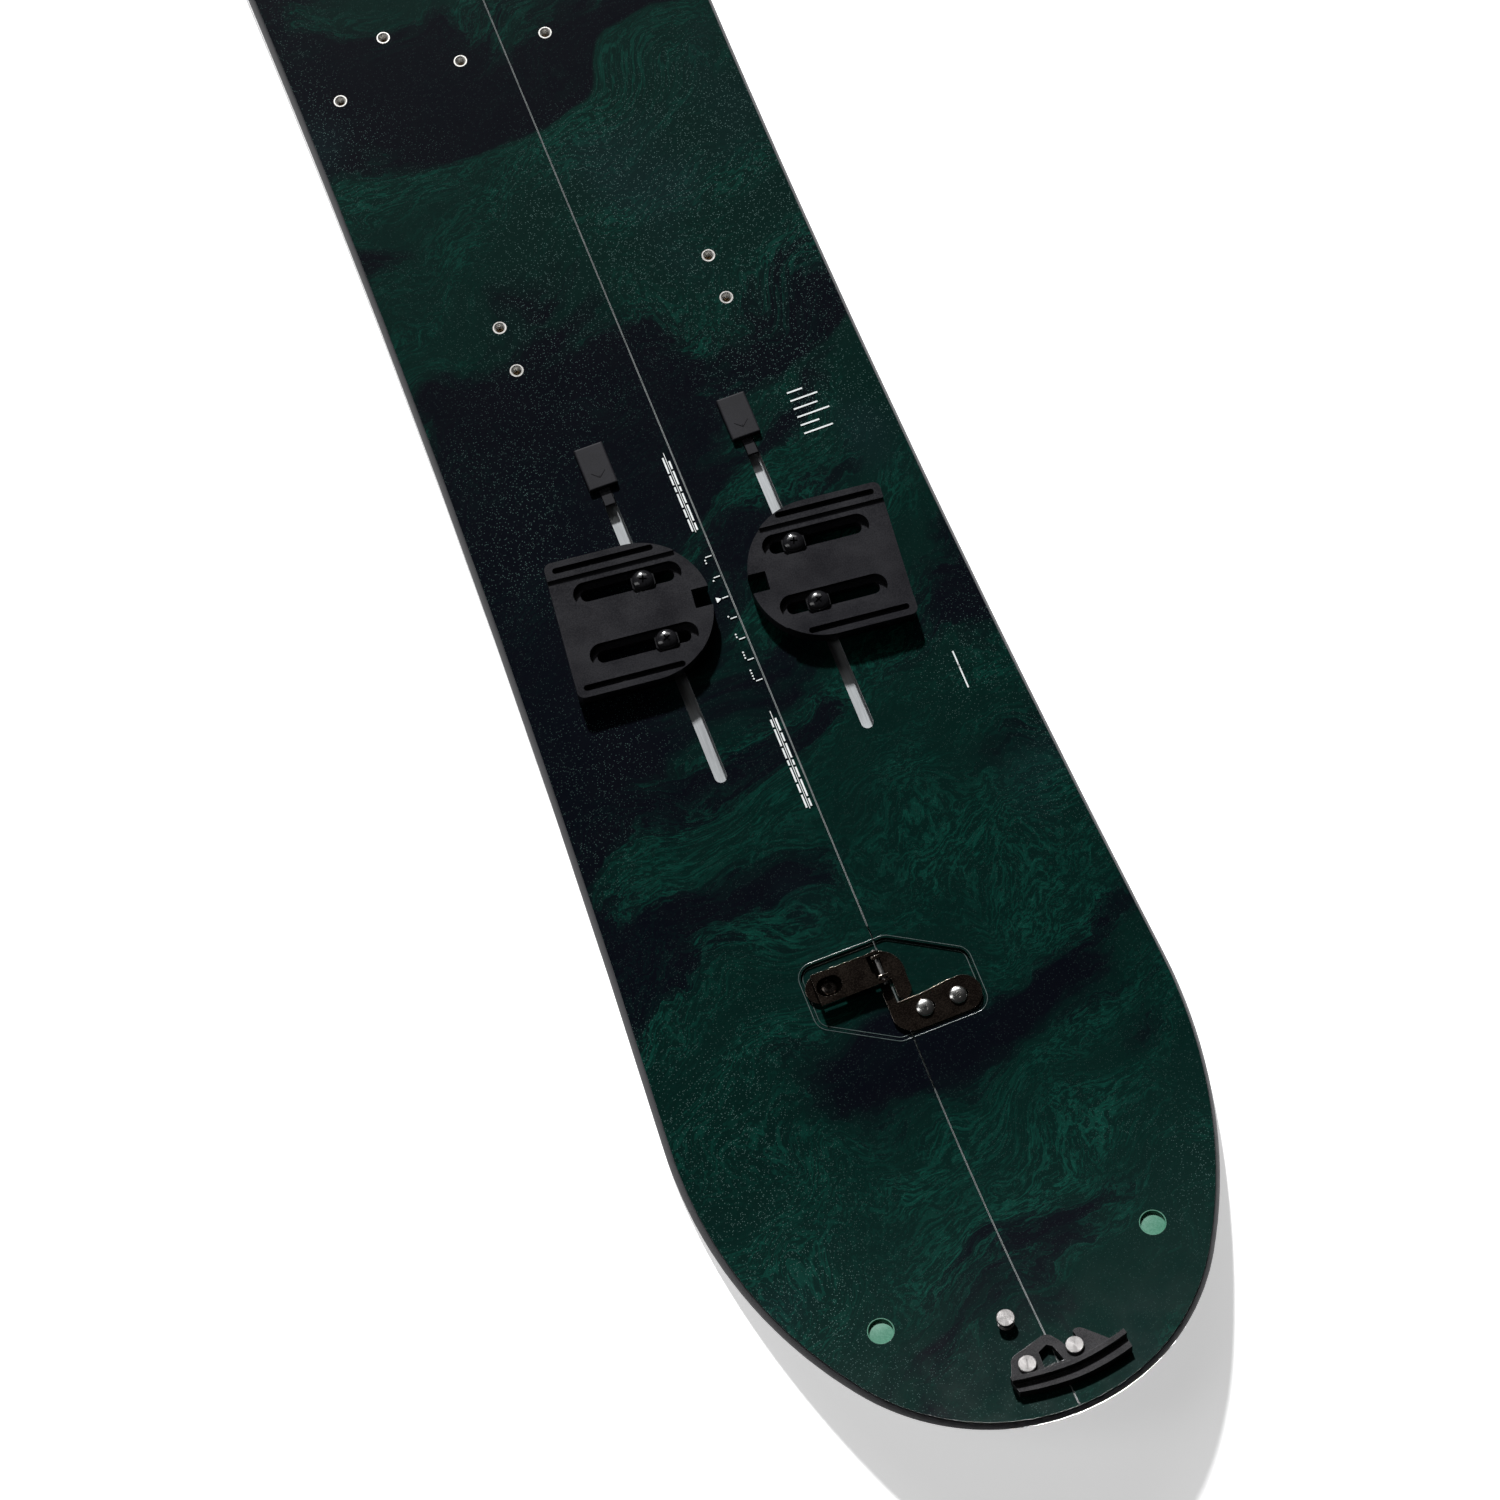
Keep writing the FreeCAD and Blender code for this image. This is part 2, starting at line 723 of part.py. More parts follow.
def slot_cutter(name, frame):
    """The slot in the topsheet: a round tail end and a wide entry under the plug."""
    run = channel_length - size.channel_slot_width / 2 - size.entry_length / 2
    slot = block(name + "_run", size.channel_slot_width, run, -THROUGH / 8, THROUGH / 8,
                 frame.multiply(at(0, (channel_middle + size.channel_slot_width / 4
                                       - size.entry_length / 4).value)))
    round_end = drilled(name + "_round", size.channel_slot_width / 2, -THROUGH / 8, THROUGH / 8,
                        frame.multiply(at(0, (size.channel_slot_width / 2
                                              - size.channel_tail_reach).value)))
    entry = block(name + "_entry", size.entry_width, size.entry_length, -THROUGH / 8, THROUGH / 8,
                  frame.multiply(at(0, (size.channel_entry_reach - size.entry_length / 2).value)))
    return [slot, round_end, entry]


def hook_frame(end_name):
    """The frame on the topsheet at the middle of a hook's recess."""
    end = ENDS[end_name]
    return surface_frame(end["hook"], end["turned"])


def clip_frame(end_name):
    """The frame at a clip's pivot, square to the topsheet there."""
    end = ENDS[end_name]
    return surface_frame(end["clip"], end["turned"]).multiply(at(-size.clip_pivot_line.value, 0))


def recess_outline(name, inset):
    """The shallow recess round a hook, the same when turned half round; its corners are arcs."""
    sketch = free_sketch(name)
    reach = size.recess_corner - inset
    # Centres of three corner arcs; the other three are opposite.
    half = [(-size.recess_reach, size.recess_side), (size.recess_step, size.recess_side),
            (size.recess_reach, size.recess_toe)]
    centres = half + [(-x, -y) for x, y in half]
    corners, radii = [], {}
    for index, (x, y) in enumerate(centres):
        before, after = centres[index - 1], centres[(index + 1) % len(centres)]
        for other, turn in ((before, 1), (after, -1)):
            run = Vector((other[0] - x).value, (other[1] - y).value, 0).normalize()
            corners.append((x + reach * (run.y * turn), y - reach * (run.x * turn)))
        radii[2 * index] = -reach
    closed_outline(sketch, corners, radii)
    return sketch


recess_floor = -size.recess_depth
hook_hole_low = recess_floor + size.plate_thickness - size.hook_screw_shank - 0.2
dish_low = recess_floor - size.topsheet_thickness
shared_cutters, dish_solids = [], []
for end_name in ENDS:
    frame = hook_frame(end_name)
    inner = recess_outline(end_name + "_recess_outline", size.topsheet_thickness)
    outer = recess_outline(end_name + "_dish_outline", 0)
    shared_cutters.append(extrusion(end_name + "_recess", inner, recess_floor, THROUGH, frame))
    dish_solids.append(extrusion(end_name + "_dish", outer, dish_low,
                                 size.recess_depth + size.topsheet_thickness - 0.05, frame))
    bite = extrusion(end_name + "_core_bite", outer, dish_low, THROUGH, frame)
    ENDS[end_name]["bite"] = bite
doc.recompute()


def pin_spots(end_name, half):
    """The clip's pins that stand in one half, in the clip's frame: pivot and stow, or catch."""
    if ENDS[end_name]["lever_half"] == half:
        return {"pivot": (0.0, 0.0), "stow": (0.0, size.clip_reach.value)}
    return {"catch": (size.clip_reach.value, 0.0)}


def stow_frame(end_name):
    """The stow pin's own frame, square to the topsheet where it stands."""
    end = ENDS[end_name]
    sign = -1 if end["turned"] else 1
    frame = surface_frame(end["clip"] + sign * size.clip_reach.value, end["turned"])
    return frame.multiply(at(-size.clip_pivot_line.value, 0))


def pin_frame(end_name, pin_name):
    if pin_name == "stow":
        return stow_frame(end_name)
    across = size.clip_reach.value if pin_name == "catch" else 0.0
    return clip_frame(end_name).multiply(at(across, 0))


LEVER_SCREWS = [(-31.0, 12.0), (-14.5, 12.0)]
CATCH_SCREWS = [(11.5, -15.7), (30.0, -15.7)]


def hook_screw_spots(end_name, half):
    return LEVER_SCREWS if ENDS[end_name]["lever_half"] == half else CATCH_SCREWS


def layer_cutters(half):
    """Cutters for the topsheet and for the core of one half."""
    side = SIDES[half]
    top_cuts, core_cuts = [], []
    for index, (x, y) in enumerate(insert_places(side)):
        name = "%s_insert_%d" % (half, index)
        top_cuts.append(drilled(name + "_hole", size.insert_radius, -THROUGH / 8, 3, upright(x, y)))
        seat = upright(x, y, size.insert_height.value)
        core_cuts.append(drilled(name + "_seat", size.insert_radius, 0, THROUGH, seat))
        core_cuts.append(drilled(name + "_flange_seat", size.insert_flange_radius, 0,
                                 size.insert_flange_height, seat))
    for end_name in ENDS:
        name = half + "_" + end_name
        frame = channel_frame(end_name, side)
        top_cuts += slot_cutter(name + "_slot", frame)
        track_run = channel_length + size.track_margin * 2
        core_cuts.append(block(name + "_track_pocket", size.track_width, track_run, track_low, THROUGH,
                               frame.multiply(at(0, channel_middle.value))))
        for index, (x, y) in enumerate(hook_screw_spots(end_name, half)):
            spot = hook_frame(end_name).multiply(at(x, y))
            cutter = drilled("%s_hook_hole_%d" % (name, index), size.hook_screw_radius,
                             hook_hole_low, THROUGH, spot)
            top_cuts.append(cutter)
            core_cuts.append(cutter)
        for pin_name in pin_spots(end_name, half):
            cutter = drilled("%s_%s_hole" % (name, pin_name), size.pin_radius, -size.pin_depth, 6,
                             pin_frame(end_name, pin_name))
            top_cuts.append(cutter)
            core_cuts.append(cutter)
        skin_place = (size.tail_skin_hole_place if end_name == "rear" else size.nose_skin_hole_place)
        frame = surface_frame(skin_place.value)
        hole = drilled(name + "_skin_hole", size.skin_hole_radius, -THROUGH, THROUGH,
                       frame.multiply(at(side * size.skin_hole_line.value, 0)))
        top_cuts.append(hole)
        core_cuts.append(hole)
        ENDS[end_name][half + "_skin_hole"] = hole
    core_cuts += [ENDS[end_name]["bite"] for end_name in ENDS]
    return top_cuts, core_cuts


# ---------------------------------------------------------------- layers of each half

for half, side in SIDES.items():
    whole = plan_blank(half + "_whole_plan", base_plan, side)
    inside_edge = plan_blank(half + "_edge_plan", edge_plan, side)
    inside_wall = plan_blank(half + "_wall_plan", wall_plan, side)
    top_blank = plan_blank(half + "_top_plan", top_plan, side)
    top_cuts, core_cuts = layer_cutters(half)
    skin_holes = fused(half + "_skin_holes",
                       [ENDS[end_name][half + "_skin_hole"] for end_name in ENDS])

    base_blank = boolean("Common", half + "_base_blank", bands["base"], inside_edge)
    keep(boolean("Cut", half + "_base", base_blank, skin_holes), half + "_base")
    edge_ring = boolean("Cut", half + "_edge_ring", whole, inside_edge)
    keep(boolean("Common", half + "_steel_edge", bands["base"], edge_ring), half + "_steel_edge")
    wall_ring = boolean("Cut", half + "_wall_ring", whole, inside_wall)
    wall = boolean("Common", half + "_wall_blank", bands["core"], wall_ring)
    bites = fused(half + "_wall_bites", [ENDS[end_name]["bite"] for end_name in ENDS])
    keep(boolean("Cut", half + "_sidewall", wall, bites), half + "_sidewall")
    core_blank = boolean("Common", half + "_core_blank", bands["core"], inside_wall)
    keep(boolean("Cut", half + "_core", core_blank, fused(half + "_core_cuts", core_cuts)),
         half + "_core")
    flat_top = boolean("Common", half + "_top_blank", bands["top"], top_blank)
    dishes = boolean("Common", half + "_dishes", fused(half + "_dish_pair", dish_solids), top_blank)
    dished_top = fused(half + "_dished_top", [flat_top, dishes])
    keep(boolean("Cut", half + "_topsheet", dished_top,
                 fused(half + "_top_cuts", top_cuts + shared_cutters)), half + "_topsheet")
doc.recompute()

# ---------------------------------------------------------------- inserts, hole plugs and tracks

insert = turned_body("insert_master", [
    (size.insert_bore_radius, 0), (size.insert_flange_radius, 0),
    (size.insert_flange_radius, size.insert_flange_height),
    (size.insert_radius, size.insert_flange_height),
    (size.insert_radius, size.insert_height), (size.insert_bore_radius, size.insert_height)])

plug_inside = size.skin_hole_radius - size.hole_plug_wall
plug_floor = size.hole_plug_height - size.hole_plug_recess
hole_plug = turned_body("hole_plug_master", [
    (0, 0), (size.skin_hole_radius, 0), (size.skin_hole_radius, size.hole_plug_height),
    (plug_inside, size.hole_plug_height), (plug_inside, plug_floor), (0, plug_floor)])

for half, side in SIDES.items():
    places = [upright(x, y, size.insert_height.value) for x, y in insert_places(side)]
    keep(group(half + "_inserts", insert, places), half + "_inserts")
    discs = []
    for skin_place in (size.tail_skin_hole_place.value, size.nose_skin_hole_place.value):
        spot = at(side * size.skin_hole_line.value, 0, -size.hole_plug_height.value)
        discs.append(surface_frame(skin_place).multiply(spot))
    keep(group(half + "_skin_hole_plugs", hole_plug, discs), half + "_skin_hole_plugs")

track_run = channel_length + size.track_margin * 2
for end_name in ENDS:
    for half, side in SIDES.items():
        label = "%s_%s_track" % (end_name, half)
        body = new_body(label)
        section = body_sketch(body, label + "_outline", track_low)
        rectangle(section, 0, channel_middle, size.track_width, track_run)
        pad(body, section, size.track_depth)
        cavity = body_sketch(body, label + "_cavity", cavity_high)
        rectangle(cavity, 0, channel_middle, size.track_cavity_width, channel_length)
        pocket(body, cavity, cavity_high - cavity_low)
        mouth = body_sketch(body, label + "_mouth", track_top)
        slot_end = size.channel_entry_reach - size.entry_length
        slot_length = slot_end + size.channel_tail_reach
        rectangle(mouth, 0, slot_end - slot_length / 2, size.channel_slot_width, slot_length)
        pocket(body, mouth, size.track_lip + 0.5)
        entry = body_sketch(body, label + "_entry", track_top)
        rectangle(entry, 0, size.channel_entry_reach - size.entry_length / 2,
                  size.track_cavity_width, size.entry_length)
        pocket(body, entry, size.track_lip + 0.5)
        keep(body, label, channel_frame(end_name, side))

# ---------------------------------------------------------------- pucks and what clamps them


def puck_frame(end_name, side):
    """A puck's frame: X along its slots towards the seam, Z up, at the middle of its underside."""
    turned = ENDS[end_name]["turned"]
    across = -side if turned else side
    # The pucks toe out: the line through a pair turns one way at the rear, the other at the front.
    turn = size.puck_angle.value if turned else -size.puck_angle.value
    place = at(0, 0, size.puck_lift.value, turn).multiply(at(across * size.puck_offset.value, 0))
    return stance_frame(end_name).multiply(place).multiply(at(0, 0, 0, 180 if across > 0 else 0))


def puck_screw_places(end_name, side):
    """The two screw places in the puck's frame, found where its slots cross the channel."""
    frame = puck_frame(end_name, side)
    channel = channel_frame(end_name, side)
    places = []
    for row in (1, -1):
        start = frame.multVec(Vector(0, row * size.puck_slot_line.value, 0))
        end = frame.multVec(Vector(1, row * size.puck_slot_line.value, 0))
        start, end = [channel.inverse().multVec(spot) for spot in (start, end)]
        places.append((-start.x / (end.x - start.x), row * size.puck_slot_line.value))
    return places


def make_puck(label):
    body = new_body(label)
    outboard, flat = -size.puck_outboard, size.puck_round_centre
    depth, corner = size.puck_half_depth, size.puck_corner_radius
    plate = body_sketch(body, label + "_plate")
    closed_outline(plate, [
        (outboard + corner, -depth), (flat, -depth), (flat, depth),
        (outboard + corner, depth), (outboard, depth - corner), (outboard, corner - depth)],
        {1: depth + 0.0001, 3: corner, 5: corner})
    pad(body, plate, size.puck_deck_height)
    rails = body_sketch(body, label + "_rails", size.puck_deck_height)
    inner = size.rail_inner_edge
    tip = root_of(depth * depth - inner * inner)
    for sign in (1, -1):
        points = [(outboard + corner, depth * sign), (outboard, (depth - corner) * sign),
                  (outboard, inner * sign), (flat + tip, inner * sign), (flat, depth * sign)]
        closed_outline(rails, points, {0: corner * sign, 3: depth * sign})
    pad(body, rails, size.puck_height - size.puck_deck_height)
    grooves = body_sketch(body, label + "_grooves", size.puck_height)
    for sign in (1, -1):
        slot_along_x(grooves, outboard + corner + size.rail_groove_length / 2,
                     size.rail_groove_line * sign, size.rail_groove_length, size.rail_groove_width)
    pocket(body, grooves, size.rail_groove_depth)
    steps = body_sketch(body, label + "_counterbores", size.puck_deck_height)
    slots = body_sketch(body, label + "_slots", size.puck_deck_height)
    for sign in (1, -1):
        line = size.puck_slot_line * sign
        slot_along_x(steps, 0, line, size.counterbore_length, size.counterbore_width)
        slot_along_x(slots, 0, line, size.puck_slot_length, size.puck_slot_width)
    pocket(body, steps, size.puck_deck_height - size.counterbore_floor)
    pocket(body, slots)
    notch = body_sketch(body, label + "_notch", size.puck_deck_height)
    reach = flat + depth
    rectangle(notch, reach, 0, size.notch_depth * 2, size.notch_width)
    pocket(body, notch)
    return body


def domed_screw(label, shank_radius, shank_length, head_radius, head_height, socket_radius):
    """A screw whose domed head is part of a ball centred on its axis, with a round drive socket."""
    rim = head_height / 3
    dome = head_height - rim
    ball = (head_radius * head_radius + dome * dome) / (dome * 2)
    socket_rim = head_height - ball + root_of(ball * ball - socket_radius * socket_radius)
    socket_floor = head_height / 2
    return turned_body(label, [
        (0, -shank_length), (shank_radius, -shank_length), (shank_radius, 0), (head_radius, 0),
        (head_radius, rim), (socket_radius, socket_rim), (socket_radius, socket_floor),
        (0, socket_floor)], {4: ball})


head_low = size.counterbore_floor + size.washer_thickness
puck_screw = domed_screw("puck_screw_master", size.puck_screw_radius, size.puck_screw_shank,
                         size.puck_screw_head_radius, size.puck_screw_head_height,
                         size.drive_socket_radius)

washer = new_body("washer_master")
washer_plan = body_sketch(washer, "washer_plan")
edge, cut = size.washer_side / 2, size.washer_side / 2 - size.washer_corner
closed_outline(washer_plan, [(cut, -edge), (edge, -cut), (edge, cut), (cut, edge),
                             (-cut, edge), (-edge, cut), (-edge, -cut), (-cut, -edge)])
circle(washer_plan, 0, 0, size.puck_screw_radius + 0.2)
pad(washer, washer_plan, size.washer_thickness)

nut = new_body("channel_nut_master")
nut_plan = body_sketch(nut, "channel_nut_plan")
rectangle(nut_plan, 0, 0, size.nut_side, size.nut_side)
circle(nut_plan, 0, 0, size.puck_screw_radius + 0.1)
pad(nut, nut_plan, size.nut_thickness)
doc.recompute()

for end_name in ENDS:
    for half, side in SIDES.items():
        label = "%s_%s_puck" % (end_name, half)
        frame = puck_frame(end_name, side)
        keep(make_puck(label), label, frame)
        spots = [frame.multiply(at(x, y)) for x, y in puck_screw_places(end_name, side)]
        keep(group(label + "_screws", puck_screw, [spot.multiply(at(0, 0, head_low.value))
                                                   for spot in spots]), label + "_screws")
        keep(group(label + "_washers", washer,
                   [spot.multiply(at(0, 0, size.counterbore_floor.value)) for spot in spots]),
             label + "_washers")
        channel = channel_frame(end_name, side)
        nut_low = cavity_high.value - 0.3 - size.nut_thickness.value
        nut_spots = []
        for spot in spots:
            along = channel.inverse().multVec(spot.Base).y
            nut_spots.append(channel.multiply(at(0, along, nut_low)))
        keep(group(label + "_channel_nuts", nut, nut_spots), label + "_channel_nuts")

# ---------------------------------------------------------------- plugs over the channel entries

for end_name in ENDS:
    for half, side in SIDES.items():
        label = "%s_%s_channel_plug" % (end_name, half)
        body = new_body(label)
        entry_middle = size.channel_entry_reach - size.entry_length / 2
        cap = body_sketch(body, label + "_cap", 0.15)
        rectangle(cap, 0, entry_middle, size.plug_width, size.plug_length)
        pad(body, cap, size.plug_cap_height)
        stem = body_sketch(body, label + "_stem", 0.15)
        rectangle(stem, 0, entry_middle, size.track_cavity_width - 0.8, size.entry_length - 0.8)
        pad(body, stem, -cavity_low - 0.3, reverse=True)
        tongue = body_sketch(body, label + "_tongue", 0.15)
        tongue_middle = entry_middle - size.plug_length / 2
        rectangle(tongue, 0, tongue_middle, size.channel_slot_width - 0.8, size.plug_tongue_length * 2)
        solid = pad(body, tongue, 1.6, reverse=True)
        crown = body.newObject("PartDesign::Chamfer", label + "_crown")
        top_face = max(range(len(solid.Shape.Faces)),
                       key=lambda index: solid.Shape.Faces[index].CenterOfMass.z)
        crown.Base = (solid, ["Face%d" % (top_face + 1)])
        crown.Size = 0.7
        keep(body, label, channel_frame(end_name, side))
doc.recompute()

# ---------------------------------------------------------------- hooks and levers

ROOT = 0.2  # how deep an upstanding part is rooted in the plate under it
ARC_SLACK = 0.001  # keeps a half-round end's radius just over half its width


def make_hook_plate(label):
    """The lever side's plate: a tongue of steel whose finger reaches over the seam."""
    body = new_body(label)
    place, gap, end = size.hinge_place, size.finger_gap, -size.hook_foot_end
    low = place - size.foot_half_width + size.foot_trim
    high = place + size.foot_half_width
    sketch = body_sketch(body, label + "_plan", recess_floor + size.finger_relief)
    closed_outline(sketch, [
        (end, low), (-gap, low), (gap, low), (gap, -4.5), (3.0, -7.0), (9.2, -1.0),
        (9.2, 5.0), (1.0, high), (end, high)],
        {3: 2.2, 4: 5.2, 6: 13.5, 8: (high - low) / 2 + ARC_SLACK})
    pad(body, sketch, size.plate_thickness - size.finger_relief)
    foot = body_sketch(body, label + "_foot", recess_floor + size.finger_relief)
    closed_outline(foot, [(end, low), (-gap, low), (-gap, high), (end, high)],
                   {3: (high - low) / 2 + ARC_SLACK})
    pad(body, foot, size.finger_relief, reverse=True)
    holes = body_sketch(body, label + "_holes", recess_floor + size.plate_thickness)
    for x, y in LEVER_SCREWS:
        circle(holes, x, y, size.hook_screw_radius)
    pocket(body, holes)
    plate_top = recess_floor + size.plate_thickness
    ear_height = size.hinge_height + recess_floor - plate_top
    for sign in (1, -1):
        ear = body_sketch(body, "%s_ear_%s" % (label, "high" if sign > 0 else "low"),
                          plate_top - ROOT)
        rectangle(ear, size.hinge_line, place + size.ear_spacing * sign / 2,
                  size.ear_radius * 2, size.ear_thickness)
        pad(body, ear, ear_height + size.ear_radius + ROOT)
    rounding = body_sketch(body, label + "_pin_bore", plane="XZ_Plane")
    circle(rounding, size.hinge_line, size.hinge_height + recess_floor, size.hinge_pin_radius)
    pocket(body, rounding)
    return body


def make_catch_plate(label):
    """The other side's plate; its finger reaches back over the seam behind the first one."""
    body = new_body(label)
    gap, end = size.finger_gap, size.catch_foot_end
    low, high, shoulder = -size.catch_foot_low, -size.catch_foot_high, -size.catch_foot_shoulder
    waist, step = size.catch_foot_waist, size.catch_foot_step
    corner = size.catch_foot_corner
    sketch = body_sketch(body, label + "_plan", recess_floor + size.finger_relief)
    closed_outline(sketch, [
        (-gap, 4.3), (-gap, shoulder), (waist, shoulder), (step, high), (end, high), (end, low),
        (3.5, low), (-6.2, -17.0), (-6.2, -1.5)],
        {4: -corner - ARC_SLACK, 6: -12.0, 8: -8.5})
    pad(body, sketch, size.plate_thickness - size.finger_relief)
    foot = body_sketch(body, label + "_foot", recess_floor + size.finger_relief)
    closed_outline(foot, [(gap, low), (end, low), (end, high), (step, high), (waist, shoulder),
                          (gap, shoulder)], {1: corner + ARC_SLACK})
    pad(body, foot, size.finger_relief, reverse=True)
    holes = body_sketch(body, label + "_holes", recess_floor + size.plate_thickness)
    for x, y in CATCH_SCREWS:
        slot_along_x(holes, size.catch_slot_shift + x, y,
                     size.hook_screw_radius * 2 + size.catch_slot_travel, size.hook_screw_radius * 2)
    pocket(body, holes)
    return body


def make_lever(label):
    """A folded channel of steel: a top with a window, and two walls that run to the hinge pin."""
    body = new_body(label)
    place, line = size.hinge_place, size.hinge_line
    floor_level = recess_floor + size.plate_thickness + size.lever_clearance
    top_level = floor_level + size.lever_height
    outer = line - size.lever_reach
    shell = body_sketch(body, label + "_shell", floor_level)
    shell_end = line - size.lever_shell_gap
    arm_start = shell_end - size.lever_arm_overlap
    rectangle(shell, (outer + shell_end) / 2, place, shell_end - outer, size.lever_width)
    pad(body, shell, size.lever_height)
    hollow = body_sketch(body, label + "_hollow", top_level - size.lever_wall)
    rectangle(hollow, (outer + shell_end) / 2 + size.lever_wall, place,
              shell_end - outer, size.lever_width - size.lever_wall * 2)
    pocket(body, hollow, size.lever_height)
    window = body_sketch(body, label + "_window", top_level)
    slot_along_x(window, LEVER_SCREWS[0][0], place, size.lever_window_length,
                 size.lever_window_width)
    pocket(body, window, size.lever_height)
    for sign in (1, -1):
        arm = body_sketch(body, "%s_arm_%s" % (label, "high" if sign > 0 else "low"), plane="XZ_Plane")
        height = size.hinge_height + recess_floor
        knuckle = size.lever_knuckle_radius
        closed_outline(arm, [(arm_start, floor_level), (line, height - knuckle),
                             (line, height + knuckle), (arm_start, top_level)],
                       {1: knuckle + 0.0001})
        bind(arm, "AttachmentOffset.Base.z",
             -(place + (size.lever_width - size.lever_wall) * sign / 2) - size.lever_wall / 2)
        pad(body, arm, size.lever_wall)
    bore = body_sketch(body, label + "_bore", plane="XZ_Plane")
    circle(bore, line, size.hinge_height + recess_floor, size.hinge_pin_radius + size.hinge_bore_clearance)
    pocket(body, bore)
    return body


hook_screw = domed_screw("hook_screw_master", size.hook_screw_radius, size.hook_screw_shank,
                         size.hook_screw_head_radius, size.hook_screw_head_height,
                         size.drive_socket_radius)
hinge_pin = turned_body("hinge_pin_master", [
    (0, 0), (size.hinge_pin_radius, 0), (size.hinge_pin_radius, size.hinge_pin_length),
    (0, size.hinge_pin_length)])

plate_top = (recess_floor + size.plate_thickness).value
for end_name in ENDS:
    frame = hook_frame(end_name)
    keep(make_hook_plate(end_name + "_hook_plate"), end_name + "_hook_plate", frame)
    keep(make_catch_plate(end_name + "_catch_plate"), end_name + "_catch_plate", frame)
    keep(make_lever(end_name + "_hook_lever"), end_name + "_hook_lever", frame)
    pin_low = (size.hinge_place - size.hinge_pin_length / 2).value
    lying = Placement(Vector(size.hinge_line.value, pin_low, (size.hinge_height + recess_floor).value),
                      Rotation(Vector(1, 0, 0), -90))
    keep(group(end_name + "_hinge_pin", hinge_pin, [frame.multiply(lying)]), end_name + "_hinge_pin")
    for node, spots in (("lever_side_screws", LEVER_SCREWS), ("catch_screws", CATCH_SCREWS)):
        label = "%s_%s" % (end_name, node)
        keep(group(label, hook_screw, [frame.multiply(at(x, y, plate_top)) for x, y in spots]), label)

# ---------------------------------------------------------------- tip and tail clips


def make_clip(label):
    """A flat arm that turns about its pivot, with a notch for the catch pin and a curved handle."""
    body = new_body(label)
    low = size.clip_lift
    reach = size.clip_reach
    inner, outer = reach - 3.3, reach + 3.2
    sketch = body_sketch(body, label + "_plan", low)
    closed_outline(sketch, [
        (-10.9, -6.0), (reach, -11.2), (49.0, -6.0), (42.4, -3.4), (32.5, 7.4), (27.4, 8.0),
        (outer, 0), (inner, 0), (16.9, 9.6), (11.0, 11.2), (-4.0, 7.2), (-7.2, 3.4)],
        {0: 125.0, 1: 120.0, 4: 4.0, 5: -30.0, 6: -3.25 - 0.001, 7: 24.0, 8: 4.6, 10: 5.0})
    pad(body, sketch, size.clip_thickness)
    skirt = body_sketch(body, label + "_skirt", low)
    closed_outline(skirt, [
        (-10.9, -4.9), (-9.4, -12.2), (reach - 5, -16.3), (50.0, -12.0), (49.4, -3.6),
        (reach - 5, -8.4)], {1: 150.0, 2: 125.0, 4: -118.0, 5: -140.0})
    pad(body, skirt, size.clip_skirt_height)
    handle = body_sketch(body, label + "_handle", low)
    closed_outline(handle, [
        (-10.9, -4.9), (-10.6, -7.3), (reach - 5, -11.0), (49.9, -6.2), (49.4, -3.6),
        (reach - 5, -8.4)], {1: 150.0, 2: 125.0, 4: -118.0, 5: -140.0})
    pad(body, handle, size.clip_handle_height)
    cuts = body_sketch(body, label + "_window", low + size.clip_thickness)
    closed_outline(cuts, [(7.6, 4.2), (7.0, -4.4), (17.6, -4.4), (15.2, 4.6), (12.6, 6.4)])
    pocket(body, cuts)
    bore = body_sketch(body, label + "_bore", low + size.clip_thickness)
    circle(bore, 0, 0, size.clip_bore_radius)
    pocket(body, bore)
    return body


clip_top = size.clip_lift + size.clip_thickness
shoulder = clip_top + size.clip_head_gap
pin_top = shoulder + size.pin_head_height
clip_pin = turned_body("clip_pin_master", [
    (0, -size.pin_depth), (size.pin_radius, -size.pin_depth), (size.pin_radius, 0),
    (size.pin_collar_radius, 0), (size.pin_collar_radius, size.pin_collar_height),
    (size.pin_radius, size.pin_collar_height), (size.pin_radius, shoulder),
    (size.pin_head_radius, shoulder), (size.pin_head_radius, pin_top), (0, pin_top)])

for end_name in ENDS:
    keep(make_clip(end_name + "_clip"), end_name + "_clip", clip_frame(end_name))
    for pin_name in ("pivot", "stow", "catch"):
        label = "%s_%s_pin" % (end_name, pin_name)
        keep(group(label, clip_pin, [pin_frame(end_name, pin_name)]), label)

# ---------------------------------------------------------------- check everything, then write it

doc.recompute()
for item in doc.Objects:
    if "Invalid" in item.State or "Error" in item.State:
        raise RuntimeError(item.Label + " failed to build")
os.makedirs("parts", exist_ok=True)
for node in nodes:
    shape = node.Shape
    if shape.isNull() or not shape.isValid() or not shape.Solids:
        raise RuntimeError(node.Label + " has no valid solid")
    shape.exportStep(os.path.join("parts", node.Label + ".step"))
    print("%-34s %2d solids %10.1f mm3" % (node.Label, len(shape.Solids), shape.Volume))
print(len(nodes), "nodes")
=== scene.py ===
# %% [markdown]
# # A splitboard: a snowboard that comes apart lengthways into two skis
# The CAD model fixes every size, place and joint of this board. This lesson dresses it: it gives
# each metal, plastic and printed layer its finish, and remakes the pieces whose small edges,
# drive recesses and threads are too fine for the CAD model. Nothing is moved, and the overall
# size stays.

# %% Load the frame
import math

import bmesh
import bpy
import numpy as np
from mathutils import Matrix, Vector


